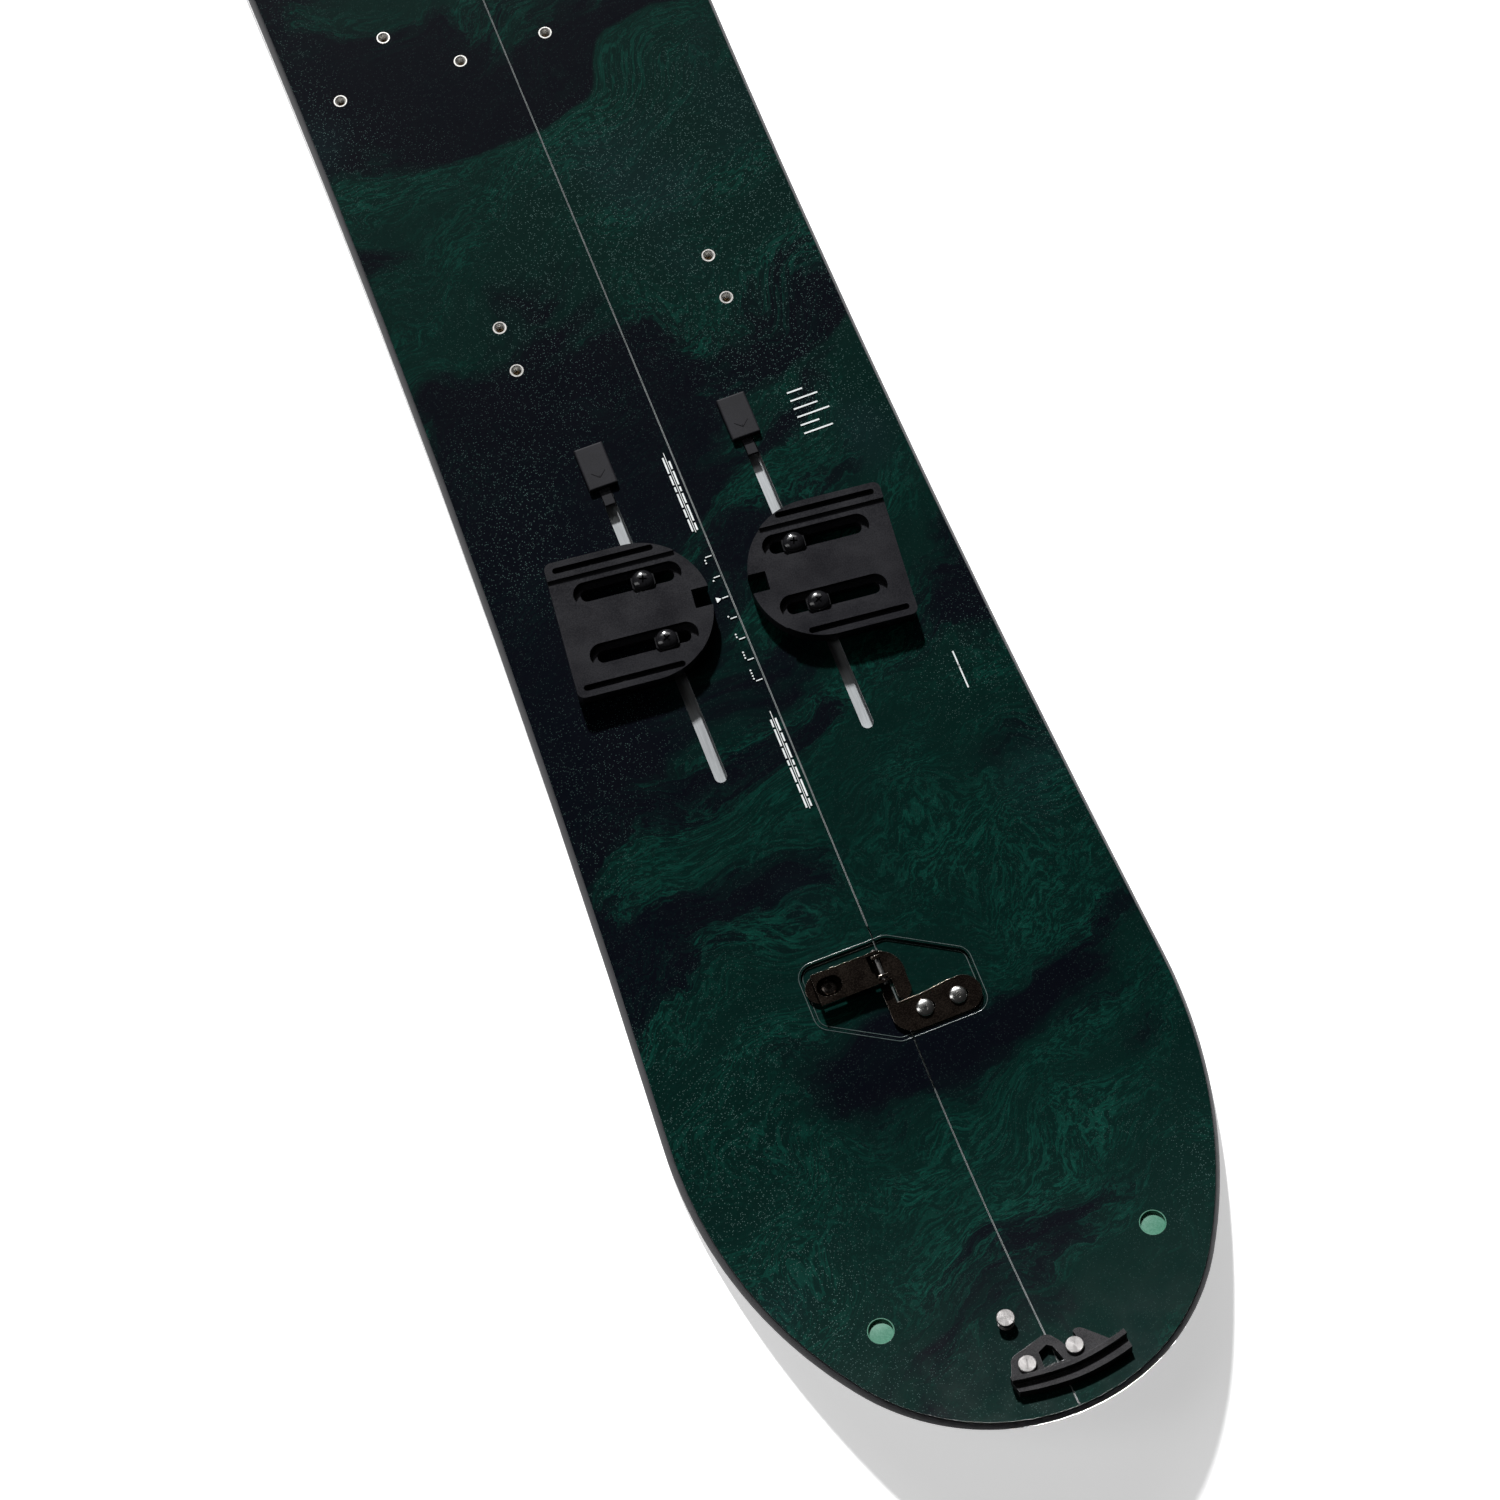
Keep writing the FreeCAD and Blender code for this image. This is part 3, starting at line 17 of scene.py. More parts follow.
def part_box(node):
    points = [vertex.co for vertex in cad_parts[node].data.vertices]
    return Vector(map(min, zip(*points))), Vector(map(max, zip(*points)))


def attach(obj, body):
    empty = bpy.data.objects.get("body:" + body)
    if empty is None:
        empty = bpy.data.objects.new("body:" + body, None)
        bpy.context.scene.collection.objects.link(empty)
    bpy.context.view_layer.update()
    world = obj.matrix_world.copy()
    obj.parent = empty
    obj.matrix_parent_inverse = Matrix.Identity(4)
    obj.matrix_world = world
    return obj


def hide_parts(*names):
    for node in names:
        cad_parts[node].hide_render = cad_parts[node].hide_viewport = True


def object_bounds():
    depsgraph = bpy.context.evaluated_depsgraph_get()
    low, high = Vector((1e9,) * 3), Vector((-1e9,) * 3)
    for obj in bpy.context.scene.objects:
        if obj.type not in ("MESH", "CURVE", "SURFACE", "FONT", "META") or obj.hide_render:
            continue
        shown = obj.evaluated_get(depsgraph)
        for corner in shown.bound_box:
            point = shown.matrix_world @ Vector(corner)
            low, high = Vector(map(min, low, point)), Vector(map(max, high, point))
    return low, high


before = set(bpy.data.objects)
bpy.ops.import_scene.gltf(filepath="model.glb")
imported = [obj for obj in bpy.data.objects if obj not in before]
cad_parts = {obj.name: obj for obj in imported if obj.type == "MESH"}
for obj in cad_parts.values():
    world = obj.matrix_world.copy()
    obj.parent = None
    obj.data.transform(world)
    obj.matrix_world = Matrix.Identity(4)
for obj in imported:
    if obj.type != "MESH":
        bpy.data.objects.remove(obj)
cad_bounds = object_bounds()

MM = 0.001
ENDS = {"rear": 1, "front": -1}
HALVES = {"left": -1, "right": 1}


def add_object(name, data):
    """An object for this data, linked into the scene."""
    made = bpy.data.objects.new(name, data)
    bpy.context.scene.collection.objects.link(made)
    return made


# %% [markdown]
# ## Camera, floor and light
# A product shot of a long flat object is taken from high up, with a fairly long lens, so that the
# board hardly tapers. The camera stands on a line from a target point, at an azimuth, an elevation
# and a small roll. Placing it by those few numbers is easier to read than a matrix of nine.

# %% Camera
CAMERA_AZIMUTH = math.radians(-22.856)
CAMERA_ELEVATION = math.radians(72.395)
CAMERA_ROLL = math.radians(1.54)
CAMERA_TARGET = Vector((-20.757, -398.208, 0.0)) * MM
CAMERA_DISTANCE = 1476.4 * MM
LENS = 66.03


def look_from(azimuth, elevation):
    """The direction from the target to a viewer at this azimuth and elevation."""
    level = math.cos(elevation)
    return Vector((math.sin(azimuth) * level, -math.cos(azimuth) * level, math.sin(elevation)))


def aimed(direction, roll=0.0):
    """A turn that points local -Z against a direction, with local Y as near upright as it can be."""
    right = Vector((0, 0, 1)).cross(direction).normalized()
    up = direction.cross(right)
    level = Matrix((right, up, direction)).transposed()
    return (level @ Matrix.Rotation(roll, 3, "Z")).to_4x4()


back = look_from(CAMERA_AZIMUTH, CAMERA_ELEVATION)
camera_data = bpy.data.cameras.new("view")
camera_data.lens = LENS
camera_data.sensor_width = 36.0
camera_data.clip_start = 0.01
camera = add_object("view", camera_data)
spot = CAMERA_TARGET + back * CAMERA_DISTANCE
camera.matrix_world = Matrix.Translation(spot) @ aimed(back, CAMERA_ROLL)
bpy.context.scene.camera = camera
print("camera at", [round(value, 3) for value in spot])

# %% [markdown]
# The light is one low, fairly hard key from beyond the nose, which throws the short dark shadows
# that the pucks and hooks have, and wide weak panels that draw soft lines along rounded edges. A
# bright sky would fog the glossy dark topsheet, so the sky is dim and the floor carries a little
# light of its own, which keeps it pale in the board's shadow.

# %% Floor and lights
FLOOR_SIZE = 6.0
FLOOR_DROP = 0.4
KEY_STRENGTH = 6.0
KEY_SOFTNESS = math.radians(3.5)
KEY_AZIMUTH = math.radians(176)
KEY_ELEVATION = math.radians(33)
SKY_STRENGTH = 0.22
FLOOR_GLOW = 0.52
PANEL_STRENGTH = 9


def new_material(name, colour, roughness=0.5, metallic=0.0):
    """A material whose Principled shader has its plain values set, and that shader's node."""
    material = bpy.data.materials.new(name)
    material.use_nodes = True
    shader = material.node_tree.nodes["Principled BSDF"]
    shader.inputs["Base Color"].default_value = (*colour, 1)
    shader.inputs["Roughness"].default_value = roughness
    shader.inputs["Metallic"].default_value = metallic
    return material, shader


def add_light(name, azimuth, elevation, distance, width, height):
    """A rectangular panel that faces the middle of the shot."""
    data = bpy.data.lights.new(name, "AREA")
    data.shape = "RECTANGLE"
    data.size, data.size_y = width, height
    data.energy = PANEL_STRENGTH
    direction = look_from(math.radians(azimuth), math.radians(elevation))
    panel = add_object(name, data)
    panel.matrix_world = Matrix.Translation(CAMERA_TARGET + direction * distance) @ aimed(direction)


floor_mesh = bpy.data.meshes.new("floor")
reach = FLOOR_SIZE / 2
floor_mesh.from_pydata([(-reach, -reach, 0), (reach, -reach, 0), (reach, reach, 0),
                        (-reach, reach, 0)], [], [(0, 1, 2, 3)])
floor = add_object("floor", floor_mesh)
floor.location.z = -FLOOR_DROP * MM
floor_paint, floor_shader = new_material("floor_paint", (0.9, 0.9, 0.9), 0.9)
floor_shader.inputs["Emission Color"].default_value = (1, 1, 1, 1)
floor_shader.inputs["Emission Strength"].default_value = FLOOR_GLOW
floor_mesh.materials.append(floor_paint)

world = bpy.data.worlds.new("studio")
bpy.context.scene.world = world
world.use_nodes = True
world.node_tree.nodes["Background"].inputs["Strength"].default_value = SKY_STRENGTH

key_data = bpy.data.lights.new("key", "SUN")
key_data.energy = KEY_STRENGTH
key_data.angle = KEY_SOFTNESS
key = add_object("key", key_data)
key.matrix_world = aimed(look_from(KEY_AZIMUTH, KEY_ELEVATION))
add_light("left_panel", -100, 35, distance=2.4, width=0.7, height=2.6)
add_light("nose_panel", 172, 42, distance=2.6, width=2.2, height=0.6)
bpy.context.scene.view_settings.view_transform = "Standard"

# %% [markdown]
# ## Shader helpers
# A finish is a base colour, a roughness and a bump that all vary a little, each at the scale the
# real surface has. All the patterns read Object coordinates, so they stay on the piece whatever the
# camera does. One helper makes a node, another adds the usual grain, so each finish stays short.

# %% Shader helpers


def add_node(tree, kind, **values):
    """A node with its settings and its sockets' values; a tuple of a node and an output links."""
    node = tree.nodes.new(kind)
    for name, value in values.items():
        if hasattr(node, name) and name not in [socket.name for socket in node.inputs]:
            setattr(node, name, value)
            continue
        socket = node.inputs[int(name[1:]) if name[1:].isdigit() else name.replace("_", " ")]
        if isinstance(value, tuple) and hasattr(value[0], "outputs"):
            tree.links.new(value[0].outputs[value[1]], socket)
        else:
            socket.default_value = value
    return node


def object_place(tree, scale=(1, 1, 1), turn=(0, 0, 0)):
    """Object coordinates, scaled and turned, as a node and an output."""
    place = add_node(tree, "ShaderNodeTexCoord")
    moved = add_node(tree, "ShaderNodeMapping", Vector=(place, "Object"), Scale=scale, Rotation=turn)
    return moved, "Vector"


def noise(tree, place, scale, detail=3.0, roughness=0.55):
    made = add_node(tree, "ShaderNodeTexNoise", Vector=place, Scale=scale, Detail=detail,
                    Roughness=roughness)
    return made, 0


def remap(tree, source, low, high, to_low=0.0, to_high=1.0):
    """A value moved smoothly from one range to another."""
    made = add_node(tree, "ShaderNodeMapRange", interpolation_type="SMOOTHSTEP", i0=source, i1=low,
                    i2=high, i3=to_low, i4=to_high)
    return made, 0


def maths(tree, operation, first, second=0.0):
    return add_node(tree, "ShaderNodeMath", operation=operation, i0=first, i1=second), 0


def times(tree, first, second):
    return maths(tree, "MULTIPLY", first, second)


def plus(tree, first, second):
    return maths(tree, "ADD", first, second)


def blend_colours(tree, factor, first, second):
    """A mix of two colours, each a triple or a node's output."""
    made = tree.nodes.new("ShaderNodeMix")
    made.data_type = "RGBA"
    for index, value in ((0, factor), (6, first), (7, second)):
        if isinstance(value, tuple) and hasattr(value[0], "outputs"):
            tree.links.new(value[0].outputs[value[1]], made.inputs[index])
        elif isinstance(value, tuple):
            made.inputs[index].default_value = (*value, 1)
        else:
            made.inputs[index].default_value = value
    return made, 2


def plug_in(tree, source, shader, socket):
    tree.links.new(source[0].outputs[source[1]], shader.inputs[socket])


def add_bump(tree, shader, source, depth, strength=1.0):
    """Bump of a real depth, in metres."""
    made = add_node(tree, "ShaderNodeBump", Height=source, Distance=depth, Strength=strength)
    plug_in(tree, (made, "Normal"), shader, "Normal")


def grained(name, colour, other, roughness, metallic=0.0, grain=900, depth=0.00004, stretch=(1, 1, 1),
            blotch=25, roughness_swing=0.12, specular=0.14):
    """A finish with fine grain and broad blotches in its colour, roughness and bump."""
    material, shader = new_material(name, colour, roughness, metallic)
    tree = material.node_tree
    place = object_place(tree, stretch)
    fine = noise(tree, place, grain, 3)
    broad = noise(tree, place, blotch, 4)
    both = plus(tree, times(tree, fine, 0.6), times(tree, broad, 0.4))
    plug_in(tree, blend_colours(tree, remap(tree, both, 0.35, 0.65), colour, other), shader, "Base Color")
    swing = roughness_swing / 2
    plug_in(tree, remap(tree, both, 0.3, 0.7, roughness - swing, roughness + swing), shader, "Roughness")
    shader.inputs["Specular IOR Level"].default_value = 0.5 if metallic > 0.5 else specular
    add_bump(tree, shader, fine, depth)
    return material


# %% [markdown]
# ## The printed topsheet
# Ink flows over the whole sheet like marbled paper: broad dark pools, green clouds between them, and
# thin bright lines that follow the flow, with a fine sparkle over all of it in a matt finish. A
# noise whose own coordinates are pushed about by a slower noise flows in that way, and the lines
# are its level curves, as on a map. An image would need painting, and would blur close up.

# %% Topsheet finish
INK_DARK = (0.0018, 0.0024, 0.0046)
INK_GREEN = (0.0014, 0.0105, 0.0086)
INK_BRIGHT = (0.0034, 0.0400, 0.0290)
INK_HAZE = (0.0060, 0.0150, 0.0185)
FLECK = (0.085, 0.150, 0.140)


def pushed(tree, place, scale, reach, detail=2.0):
    """Coordinates moved about by a noise, so that whatever uses them flows."""
    push = add_node(tree, "ShaderNodeTexNoise", Vector=place, Scale=scale, Detail=detail)
    centred = add_node(tree, "ShaderNodeVectorMath", operation="SUBTRACT", i0=(push, "Color"),
                       i1=(0.5, 0.5, 0.5))
    scaled = add_node(tree, "ShaderNodeVectorMath", operation="SCALE", i0=(centred, 0), Scale=reach)
    return (add_node(tree, "ShaderNodeVectorMath", operation="ADD", i0=place, i1=(scaled, 0)), 0)


def level_lines(tree, flow, count, sharp):
    """Thin lines where a field crosses evenly spaced levels."""
    saw = maths(tree, "PINGPONG", times(tree, flow, count), 0.5)
    return remap(tree, saw, sharp, 0.5)


def topsheet_finish():
    material, shader = new_material("topsheet_ink", INK_DARK, 0.34)
    tree = material.node_tree
    place = object_place(tree, (1, 1, 1), (0, 0, math.radians(-16)))
    slow = pushed(tree, place, 5.5, 0.17)
    flowed = pushed(tree, slow, 21.0, 0.040, 3.0)
    squeezed = (add_node(tree, "ShaderNodeMapping", Vector=flowed, Scale=(2.6, 8.5, 2.6)), 0)
    flow = noise(tree, squeezed, 1.9, 8.0, 0.62)
    pools = noise(tree, squeezed, 0.80, 3.0, 0.5)
    cloud = remap(tree, plus(tree, times(tree, pools, 0.62), times(tree, flow, 0.38)), 0.440, 0.500)
    wide = level_lines(tree, flow, 26.0, 0.22)
    fine = level_lines(tree, noise(tree, squeezed, 3.0, 8.0, 0.66), 24.0, 0.36)
    tone = noise(tree, squeezed, 2.6, 5.0, 0.6)
    lines = plus(tree, times(tree, wide, 0.62), times(tree, fine, 0.55))
    lines = times(tree, lines, remap(tree, tone, 0.40, 0.64, 0.05, 1.0))
    lines = times(tree, lines, remap(tree, cloud, 0.0, 0.6, 0.10, 1.0))
    inked = blend_colours(tree, cloud, INK_DARK, INK_GREEN)
    inked = blend_colours(tree, lines, inked, INK_BRIGHT)
    haze = remap(tree, noise(tree, place, 7.0, 2.0), 0.56, 0.72, 0.0, 0.45)
    inked = blend_colours(tree, haze, inked, INK_HAZE)
    cells = add_node(tree, "ShaderNodeTexVoronoi", Vector=place, Scale=1250.0)
    red = add_node(tree, "ShaderNodeSeparateColor", i0=(cells, "Color"))
    rare = maths(tree, "GREATER_THAN", (red, 0), 0.70)
    speck = times(tree, remap(tree, (cells, "Distance"), 0.42, 0.12), rare)
    dusty = remap(tree, noise(tree, place, 4.2, 3.0), 0.42, 0.62, 0.12, 0.85)
    inked = blend_colours(tree, times(tree, speck, dusty), inked, FLECK)
    plug_in(tree, inked, shader, "Base Color")
    plug_in(tree, remap(tree, noise(tree, place, 60.0, 4.0), 0.3, 0.7, 0.40, 0.54), shader, "Roughness")
    shader.inputs["Specular IOR Level"].default_value = 0.012
    add_bump(tree, shader, noise(tree, place, 1400.0, 2.0), 0.000006)
    return material


TOPSHEET = topsheet_finish()
# Lighter than the ink: a painted highlight on the topsheet's eased edges and on the recess rims.
TOPSHEET_EDGE_HIGHLIGHT = grained("topsheet_edge_painted_highlight", (0.040, 0.062, 0.060), (0.085, 0.110, 0.108), 0.22,
                        grain=900, depth=0.00001, blotch=60, specular=0.8)
print("topsheet nodes:", len(TOPSHEET.node_tree.nodes))

# %% [markdown]
# ## The other finishes
# Each one names what the real piece is made of. Steel that is ground or turned has fine lines along
# the work, moulded plastic has an even grain from its spark-eroded mould, and the wood core has
# long fibres and glue lines between its staves.

# %% Finishes of plastic, rubber and wood
PUCK_PLASTIC = grained("puck_plastic", (0.006, 0.006, 0.008), (0.015, 0.015, 0.018), 0.40, grain=1500,
                       depth=0.00005, blotch=45, roughness_swing=0.2)
PLUG_RUBBER = grained("plug_rubber", (0.010, 0.010, 0.012), (0.019, 0.019, 0.023), 0.62, grain=2200,
                      depth=0.00004, blotch=60)
CLIP_PLASTIC = grained("clip_plastic", (0.006, 0.006, 0.007), (0.034, 0.033, 0.035), 0.52, grain=1900,
                       depth=0.00003, blotch=80, specular=0.03)
SIDEWALL_PLASTIC = grained("sidewall_plastic", (0.020, 0.020, 0.023), (0.034, 0.034, 0.038), 0.42,
                           grain=420, depth=0.00005, stretch=(1, 0.12, 1), blotch=14)
SEAM_PLASTIC = grained("seam_plastic", (0.20, 0.22, 0.22), (0.30, 0.32, 0.32), 0.42, grain=500,
                       depth=0.00004, stretch=(1, 0.15, 1), blotch=12)
BASE_PLASTIC = grained("base_plastic", (0.012, 0.012, 0.014), (0.030, 0.030, 0.033), 0.38, grain=700,
                       depth=0.00003, stretch=(1, 0.06, 1), blotch=6)
HOLE_PLASTIC = grained("hole_plug_plastic", (0.045, 0.150, 0.100), (0.070, 0.190, 0.135), 0.36,
                       grain=900, depth=0.00002, blotch=70)
PRINT_WHITE = grained("white_print", (0.62, 0.66, 0.66), (0.78, 0.80, 0.80), 0.5, grain=1800,
                      depth=0.00001, blotch=90)


def wood_finish():
    """Long poplar staves: fibres along the board and a glue line every stave."""
    material, shader = new_material("core_wood", (0.55, 0.38, 0.21), 0.6)
    tree = material.node_tree
    place = object_place(tree, (1, 0.04, 1))
    fibre = noise(tree, place, 700, 5)
    stave = add_node(tree, "ShaderNodeTexWave", Vector=object_place(tree), Scale=16.0, Distortion=0.4)
    glue = remap(tree, (stave, 1), 0.0, 0.06, 0.45, 1.0)
    inked = blend_colours(tree, fibre, (0.42, 0.26, 0.13), (0.66, 0.48, 0.28))
    inked = blend_colours(tree, glue, (0.20, 0.12, 0.06), inked)
    plug_in(tree, inked, shader, "Base Color")
    add_bump(tree, shader, fibre, 0.00008)
    return material


CORE_WOOD = wood_finish()
print("plastic, rubber and wood finishes made")

# %% Finishes of metal
HOOK_STEEL = grained("hook_steel", (0.024, 0.017, 0.014), (0.050, 0.038, 0.030), 0.26, 0.9, grain=1300,
                     depth=0.000004, blotch=120, roughness_swing=0.16)
CHANNEL_METAL = grained("track_aluminium", (0.36, 0.375, 0.385), (0.44, 0.46, 0.47), 0.42, 0.35,
                        grain=1600, depth=0.000004, stretch=(1, 0.04, 1), blotch=18)
EDGE_STEEL = grained("edge_steel", (0.38, 0.38, 0.39), (0.58, 0.58, 0.59), 0.30, 1.0, grain=1600,
                     depth=0.00003, stretch=(1, 1, 0.1), blotch=30)
INSERT_STEEL = grained("insert_steel", (0.52, 0.51, 0.49), (0.70, 0.69, 0.66), 0.34, 0.55, grain=1400,
                       depth=0.000004, blotch=150)
NUT_STEEL = grained("nut_steel", (0.40, 0.39, 0.37), (0.56, 0.55, 0.52), 0.38, 1.0, grain=1200,
                    depth=0.00003, blotch=110)
BRIGHT_STEEL = grained("screw_steel", (0.80, 0.79, 0.77), (0.94, 0.93, 0.91), 0.22, 1.0, grain=1700,
                       depth=0.000002, blotch=160, roughness_swing=0.08)
SOCKET_STEEL = grained("socket_screw_steel", (0.10, 0.085, 0.075), (0.18, 0.155, 0.14), 0.24, 1.0,
                       grain=1500, depth=0.000004, blotch=160)
BLACK_SCREW = grained("screw_black", (0.006, 0.006, 0.007), (0.014, 0.014, 0.016), 0.16, 0.2, grain=1200,
                      depth=0.000003, blotch=160, roughness_swing=0.08, specular=1.0)
BLACK_WASHER = grained("washer_black", (0.010, 0.010, 0.011), (0.022, 0.022, 0.024), 0.32, 0.3,
                       grain=1500, depth=0.00003, blotch=130)


def turned_finish():
    """Faced on a lathe: the tool leaves rings, read from the piece's own map about each axis."""
    material, shader = new_material("pin_steel", (0.74, 0.72, 0.70), 0.22, 1.0)
    tree = material.node_tree
    chart = add_node(tree, "ShaderNodeUVMap", uv_map="about_axis")
    radius = add_node(tree, "ShaderNodeVectorMath", operation="LENGTH", i0=(chart, 0))
    rings = maths(tree, "SINE", times(tree, (radius, "Value"), 2 * math.pi * 4.0))
    worn = noise(tree, object_place(tree), 900, 3)
    plug_in(tree, blend_colours(tree, worn, (0.15, 0.145, 0.142), (0.24, 0.232, 0.23)), shader, "Base Color")
    plug_in(tree, remap(tree, worn, 0.3, 0.7, 0.38, 0.48), shader, "Roughness")
    add_bump(tree, shader, rings, 0.000022, 0.9)
    return material


PIN_STEEL = turned_finish()
# Much lighter than the hook's dark steel: a painted highlight along the hooks' and levers' eased edges.
HOOK_EDGE_HIGHLIGHT = grained("hook_steel_edge_painted_highlight", (0.34, 0.29, 0.25), (0.58, 0.52, 0.46), 0.24, 1.0,
                          grain=1300, depth=0.000003, blotch=120)
# Lighter than the pucks' and clips' plastic: a painted highlight along their eased edges.
PLASTIC_EDGE_HIGHLIGHT = grained("plastic_edge_painted_highlight", (0.030, 0.030, 0.034), (0.062, 0.062, 0.066), 0.20, grain=1500,
                       depth=0.000006, blotch=45, specular=0.85)
print("metal finishes made")

# %% [markdown]
# ## The board's own line
# Seen from the side, the topsheet is three arcs that meet smoothly: the tail's kick, a long shallow
# arch between the two contacts, and the nose's kick. Seen from above, each half's edge is five arcs.
# The same few radii that drive the CAD model give a height and a slope anywhere, so small pieces can
# be stood square on the board. The last lines measure how well the arcs agree with the frame.

# %% Arcs of the board
TAIL_CONTACT, NOSE_CONTACT = -597.0, 545.0
THICKNESS = 9.0
TOP_KICKS = (389.0, 541.0)
BASE_KICKS = (367.0, 513.0)
CAMBER = 40755.0
HALF_LENGTH = 782.0
WAIST_PLACE, WAIST_HALF_WIDTH, SIDECUT = -70.0, 124.5, 8150.0
END_ARCS = (119.0, 122.0)
SIDE_ARCS = (231.0, 300.0)


def crossing(one, one_radius, two, two_radius, lower):
    """Where two circles in a plane cross; lower picks the crossing with the smaller second value."""
    apart = two - one
    along = (apart.length_squared + one_radius ** 2 - two_radius ** 2) / (2 * apart.length)
    across = math.sqrt(max(one_radius ** 2 - along ** 2, 0.0))
    foot = one + apart.normalized() * along
    offset = Vector((-apart.y, apart.x)).normalized() * across
    return min((foot + offset, foot - offset), key=lambda place: place.y if lower else -place.y)


def side_line(kicks, lift):
    """Height and slope along the board of a line with these kick radii, lift above the floor."""
    tail = Vector((TAIL_CONTACT, kicks[0] + lift))
    nose = Vector((NOSE_CONTACT, kicks[1] + lift))
    arch_radius = CAMBER + lift
    arch = crossing(tail, kicks[0] + arch_radius, nose, kicks[1] + arch_radius, True)
    tail_join = tail + (arch - tail).normalized() * kicks[0]
    nose_join = nose + (arch - nose).normalized() * kicks[1]

    def line(y):
        if y < tail_join.x:
            centre, radius, side = tail, kicks[0], -1
        elif y > nose_join.x:
            centre, radius, side = nose, kicks[1], -1
        else:
            centre, radius, side = arch, arch_radius, 1
        rise = math.sqrt(radius ** 2 - (y - centre.x) ** 2)
        return centre.y + side * rise, -side * (y - centre.x) / rise

    return line


top_line = side_line(TOP_KICKS, THICKNESS)
base_line = side_line(BASE_KICKS, 0.0)


def level(y, share):
    """A height between the base, at share 0, and the topsheet's surface, at share 1."""
    return base_line(y)[0] * (1 - share) + top_line(y)[0] * share


def board_normal(y):
    slope = top_line(y)[1]
    return Vector((0, -slope, 1)).normalized()


def stand(x, y, height=0.0):
    """A point this high above the topsheet, in metres."""
    return (Vector((x, y, top_line(y)[0])) + board_normal(y) * height) * MM


for place in (-700, -316, 0, 244, 650):
    height, slope = top_line(place)
    print("topsheet at", place, "is", round(height, 2), "high, slope", round(slope, 3))
print("highest CAD point", round(cad_bounds[1][2] / MM, 2), "arcs give", round(top_line(HALF_LENGTH)[0], 2))

# %% The plan of one half
ARC_STEP = math.radians(2.0)
WAIST_STEPS = 72


def on_arc(centre, radius, turns):
    return [(centre.x + radius * math.cos(turn), centre.y + radius * math.sin(turn)) for turn in turns]


def plan_outline(inset):
    """Points (x, y) along a half's outer edge, from the tail's tip to the nose's, inset by an amount."""
    cut = Vector((WAIST_HALF_WIDTH + SIDECUT, WAIST_PLACE))
    cut_radius = SIDECUT + inset
    points = []
    for sign, end_arc, side_arc in ((-1, END_ARCS[0], SIDE_ARCS[0]), (1, END_ARCS[1], SIDE_ARCS[1])):
        end = Vector((0, sign * (HALF_LENGTH - end_arc)))
        side = crossing(end, side_arc - end_arc, cut, SIDECUT + side_arc, sign > 0)
        bend = math.atan2(end.y - side.y, end.x - side.x)
        hip = math.atan2(cut.y - side.y, cut.x - side.x)
        tip_steps = max(2, round(abs(math.pi / 2 * sign - bend) / ARC_STEP))
        hip_steps = max(2, round(abs(hip - bend) / ARC_STEP))
        points.append(
            on_arc(end, end_arc - inset, np.linspace(sign * math.pi / 2, bend, tip_steps, endpoint=False))
            + on_arc(side, side_arc - inset, np.linspace(bend, hip, hip_steps)))
    low = math.asin((points[0][-1][1] - cut.y) / cut_radius)
    high = math.asin((points[1][-1][1] - cut.y) / cut_radius)
    waist = [(cut.x - cut_radius * math.cos(turn), cut.y + cut_radius * math.sin(turn))
             for turn in np.linspace(low, high, WAIST_STEPS)[1:-1]]
    return points[0] + waist + points[1][::-1]


outline = plan_outline(0.0)
print(len(outline), "outline points; widest", round(max(x for x, y in outline), 2),
      "CAD", round(cad_bounds[1][0] / MM, 2))

# %% [markdown]
# ## Mesh helpers
# A CAD node arrives as loose triangles. A copy of it is merged, its flat triangles are joined into
# whole faces, and a Bevel modifier eases the sharp edges, because real moulded and stamped edges
# are never sharp and it is that small radius that catches the light. The result is turned into a
# plain mesh before anything is tied to the frame.

# %% Mesh helpers
SHARP = math.radians(32)
FLAT = math.radians(0.4)
MERGE_REACH = 0.002 * MM


def from_bmesh(name, work, material, sharp=SHARP):
    """A smooth-shaded object, with edges sharper than an angle kept sharp."""
    bmesh.ops.recalc_face_normals(work, faces=work.faces)
    mesh = bpy.data.meshes.new(name)
    work.to_mesh(mesh)
    work.free()
    mesh.materials.append(material)
    mesh.shade_smooth()
    mesh.set_sharp_from_angle(angle=sharp)
    return add_object(name, mesh)


def settle(piece):
    """Works the piece's modifiers into a plain mesh."""
    bpy.context.view_layer.update()
    graph = bpy.context.evaluated_depsgraph_get()
    mesh = bpy.data.meshes.new_from_object(piece.evaluated_get(graph))
    piece.modifiers.clear()
    piece.data = mesh
    return piece


def ease(piece, width, segments, edge_material=None):
    """Rounds every sharp edge, and keeps the flat faces' gloss flat."""
    bevel = piece.modifiers.new("ease", "BEVEL")
    bevel.width = width * MM
    bevel.segments = segments
    bevel.limit_method = "ANGLE"
    bevel.angle_limit = SHARP
    # The edge material, where given, is lighter than the faces: it paints a highlight along the eased edges.
    if edge_material:
        piece.data.materials.append(edge_material)
        bevel.material = 1
    even = piece.modifiers.new("even", "WEIGHTED_NORMAL")
    even.keep_sharp = False
    even.weight = 100
    return settle(piece)


def merged(node):
    """A CAD node's mesh as a bmesh, with its loose triangles joined into whole faces."""
    work = bmesh.new()
    work.from_mesh(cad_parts[node].data)
    bmesh.ops.remove_doubles(work, verts=work.verts, dist=MERGE_REACH)
    bmesh.ops.dissolve_limit(work, angle_limit=FLAT, verts=work.verts, edges=work.edges)
    return work


def tie(piece, body, slot, *nodes):
    """The piece moves with a body, and stands for CAD nodes. The slot is not used."""
    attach(piece, body)
    if nodes:
        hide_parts(*nodes)
    return piece


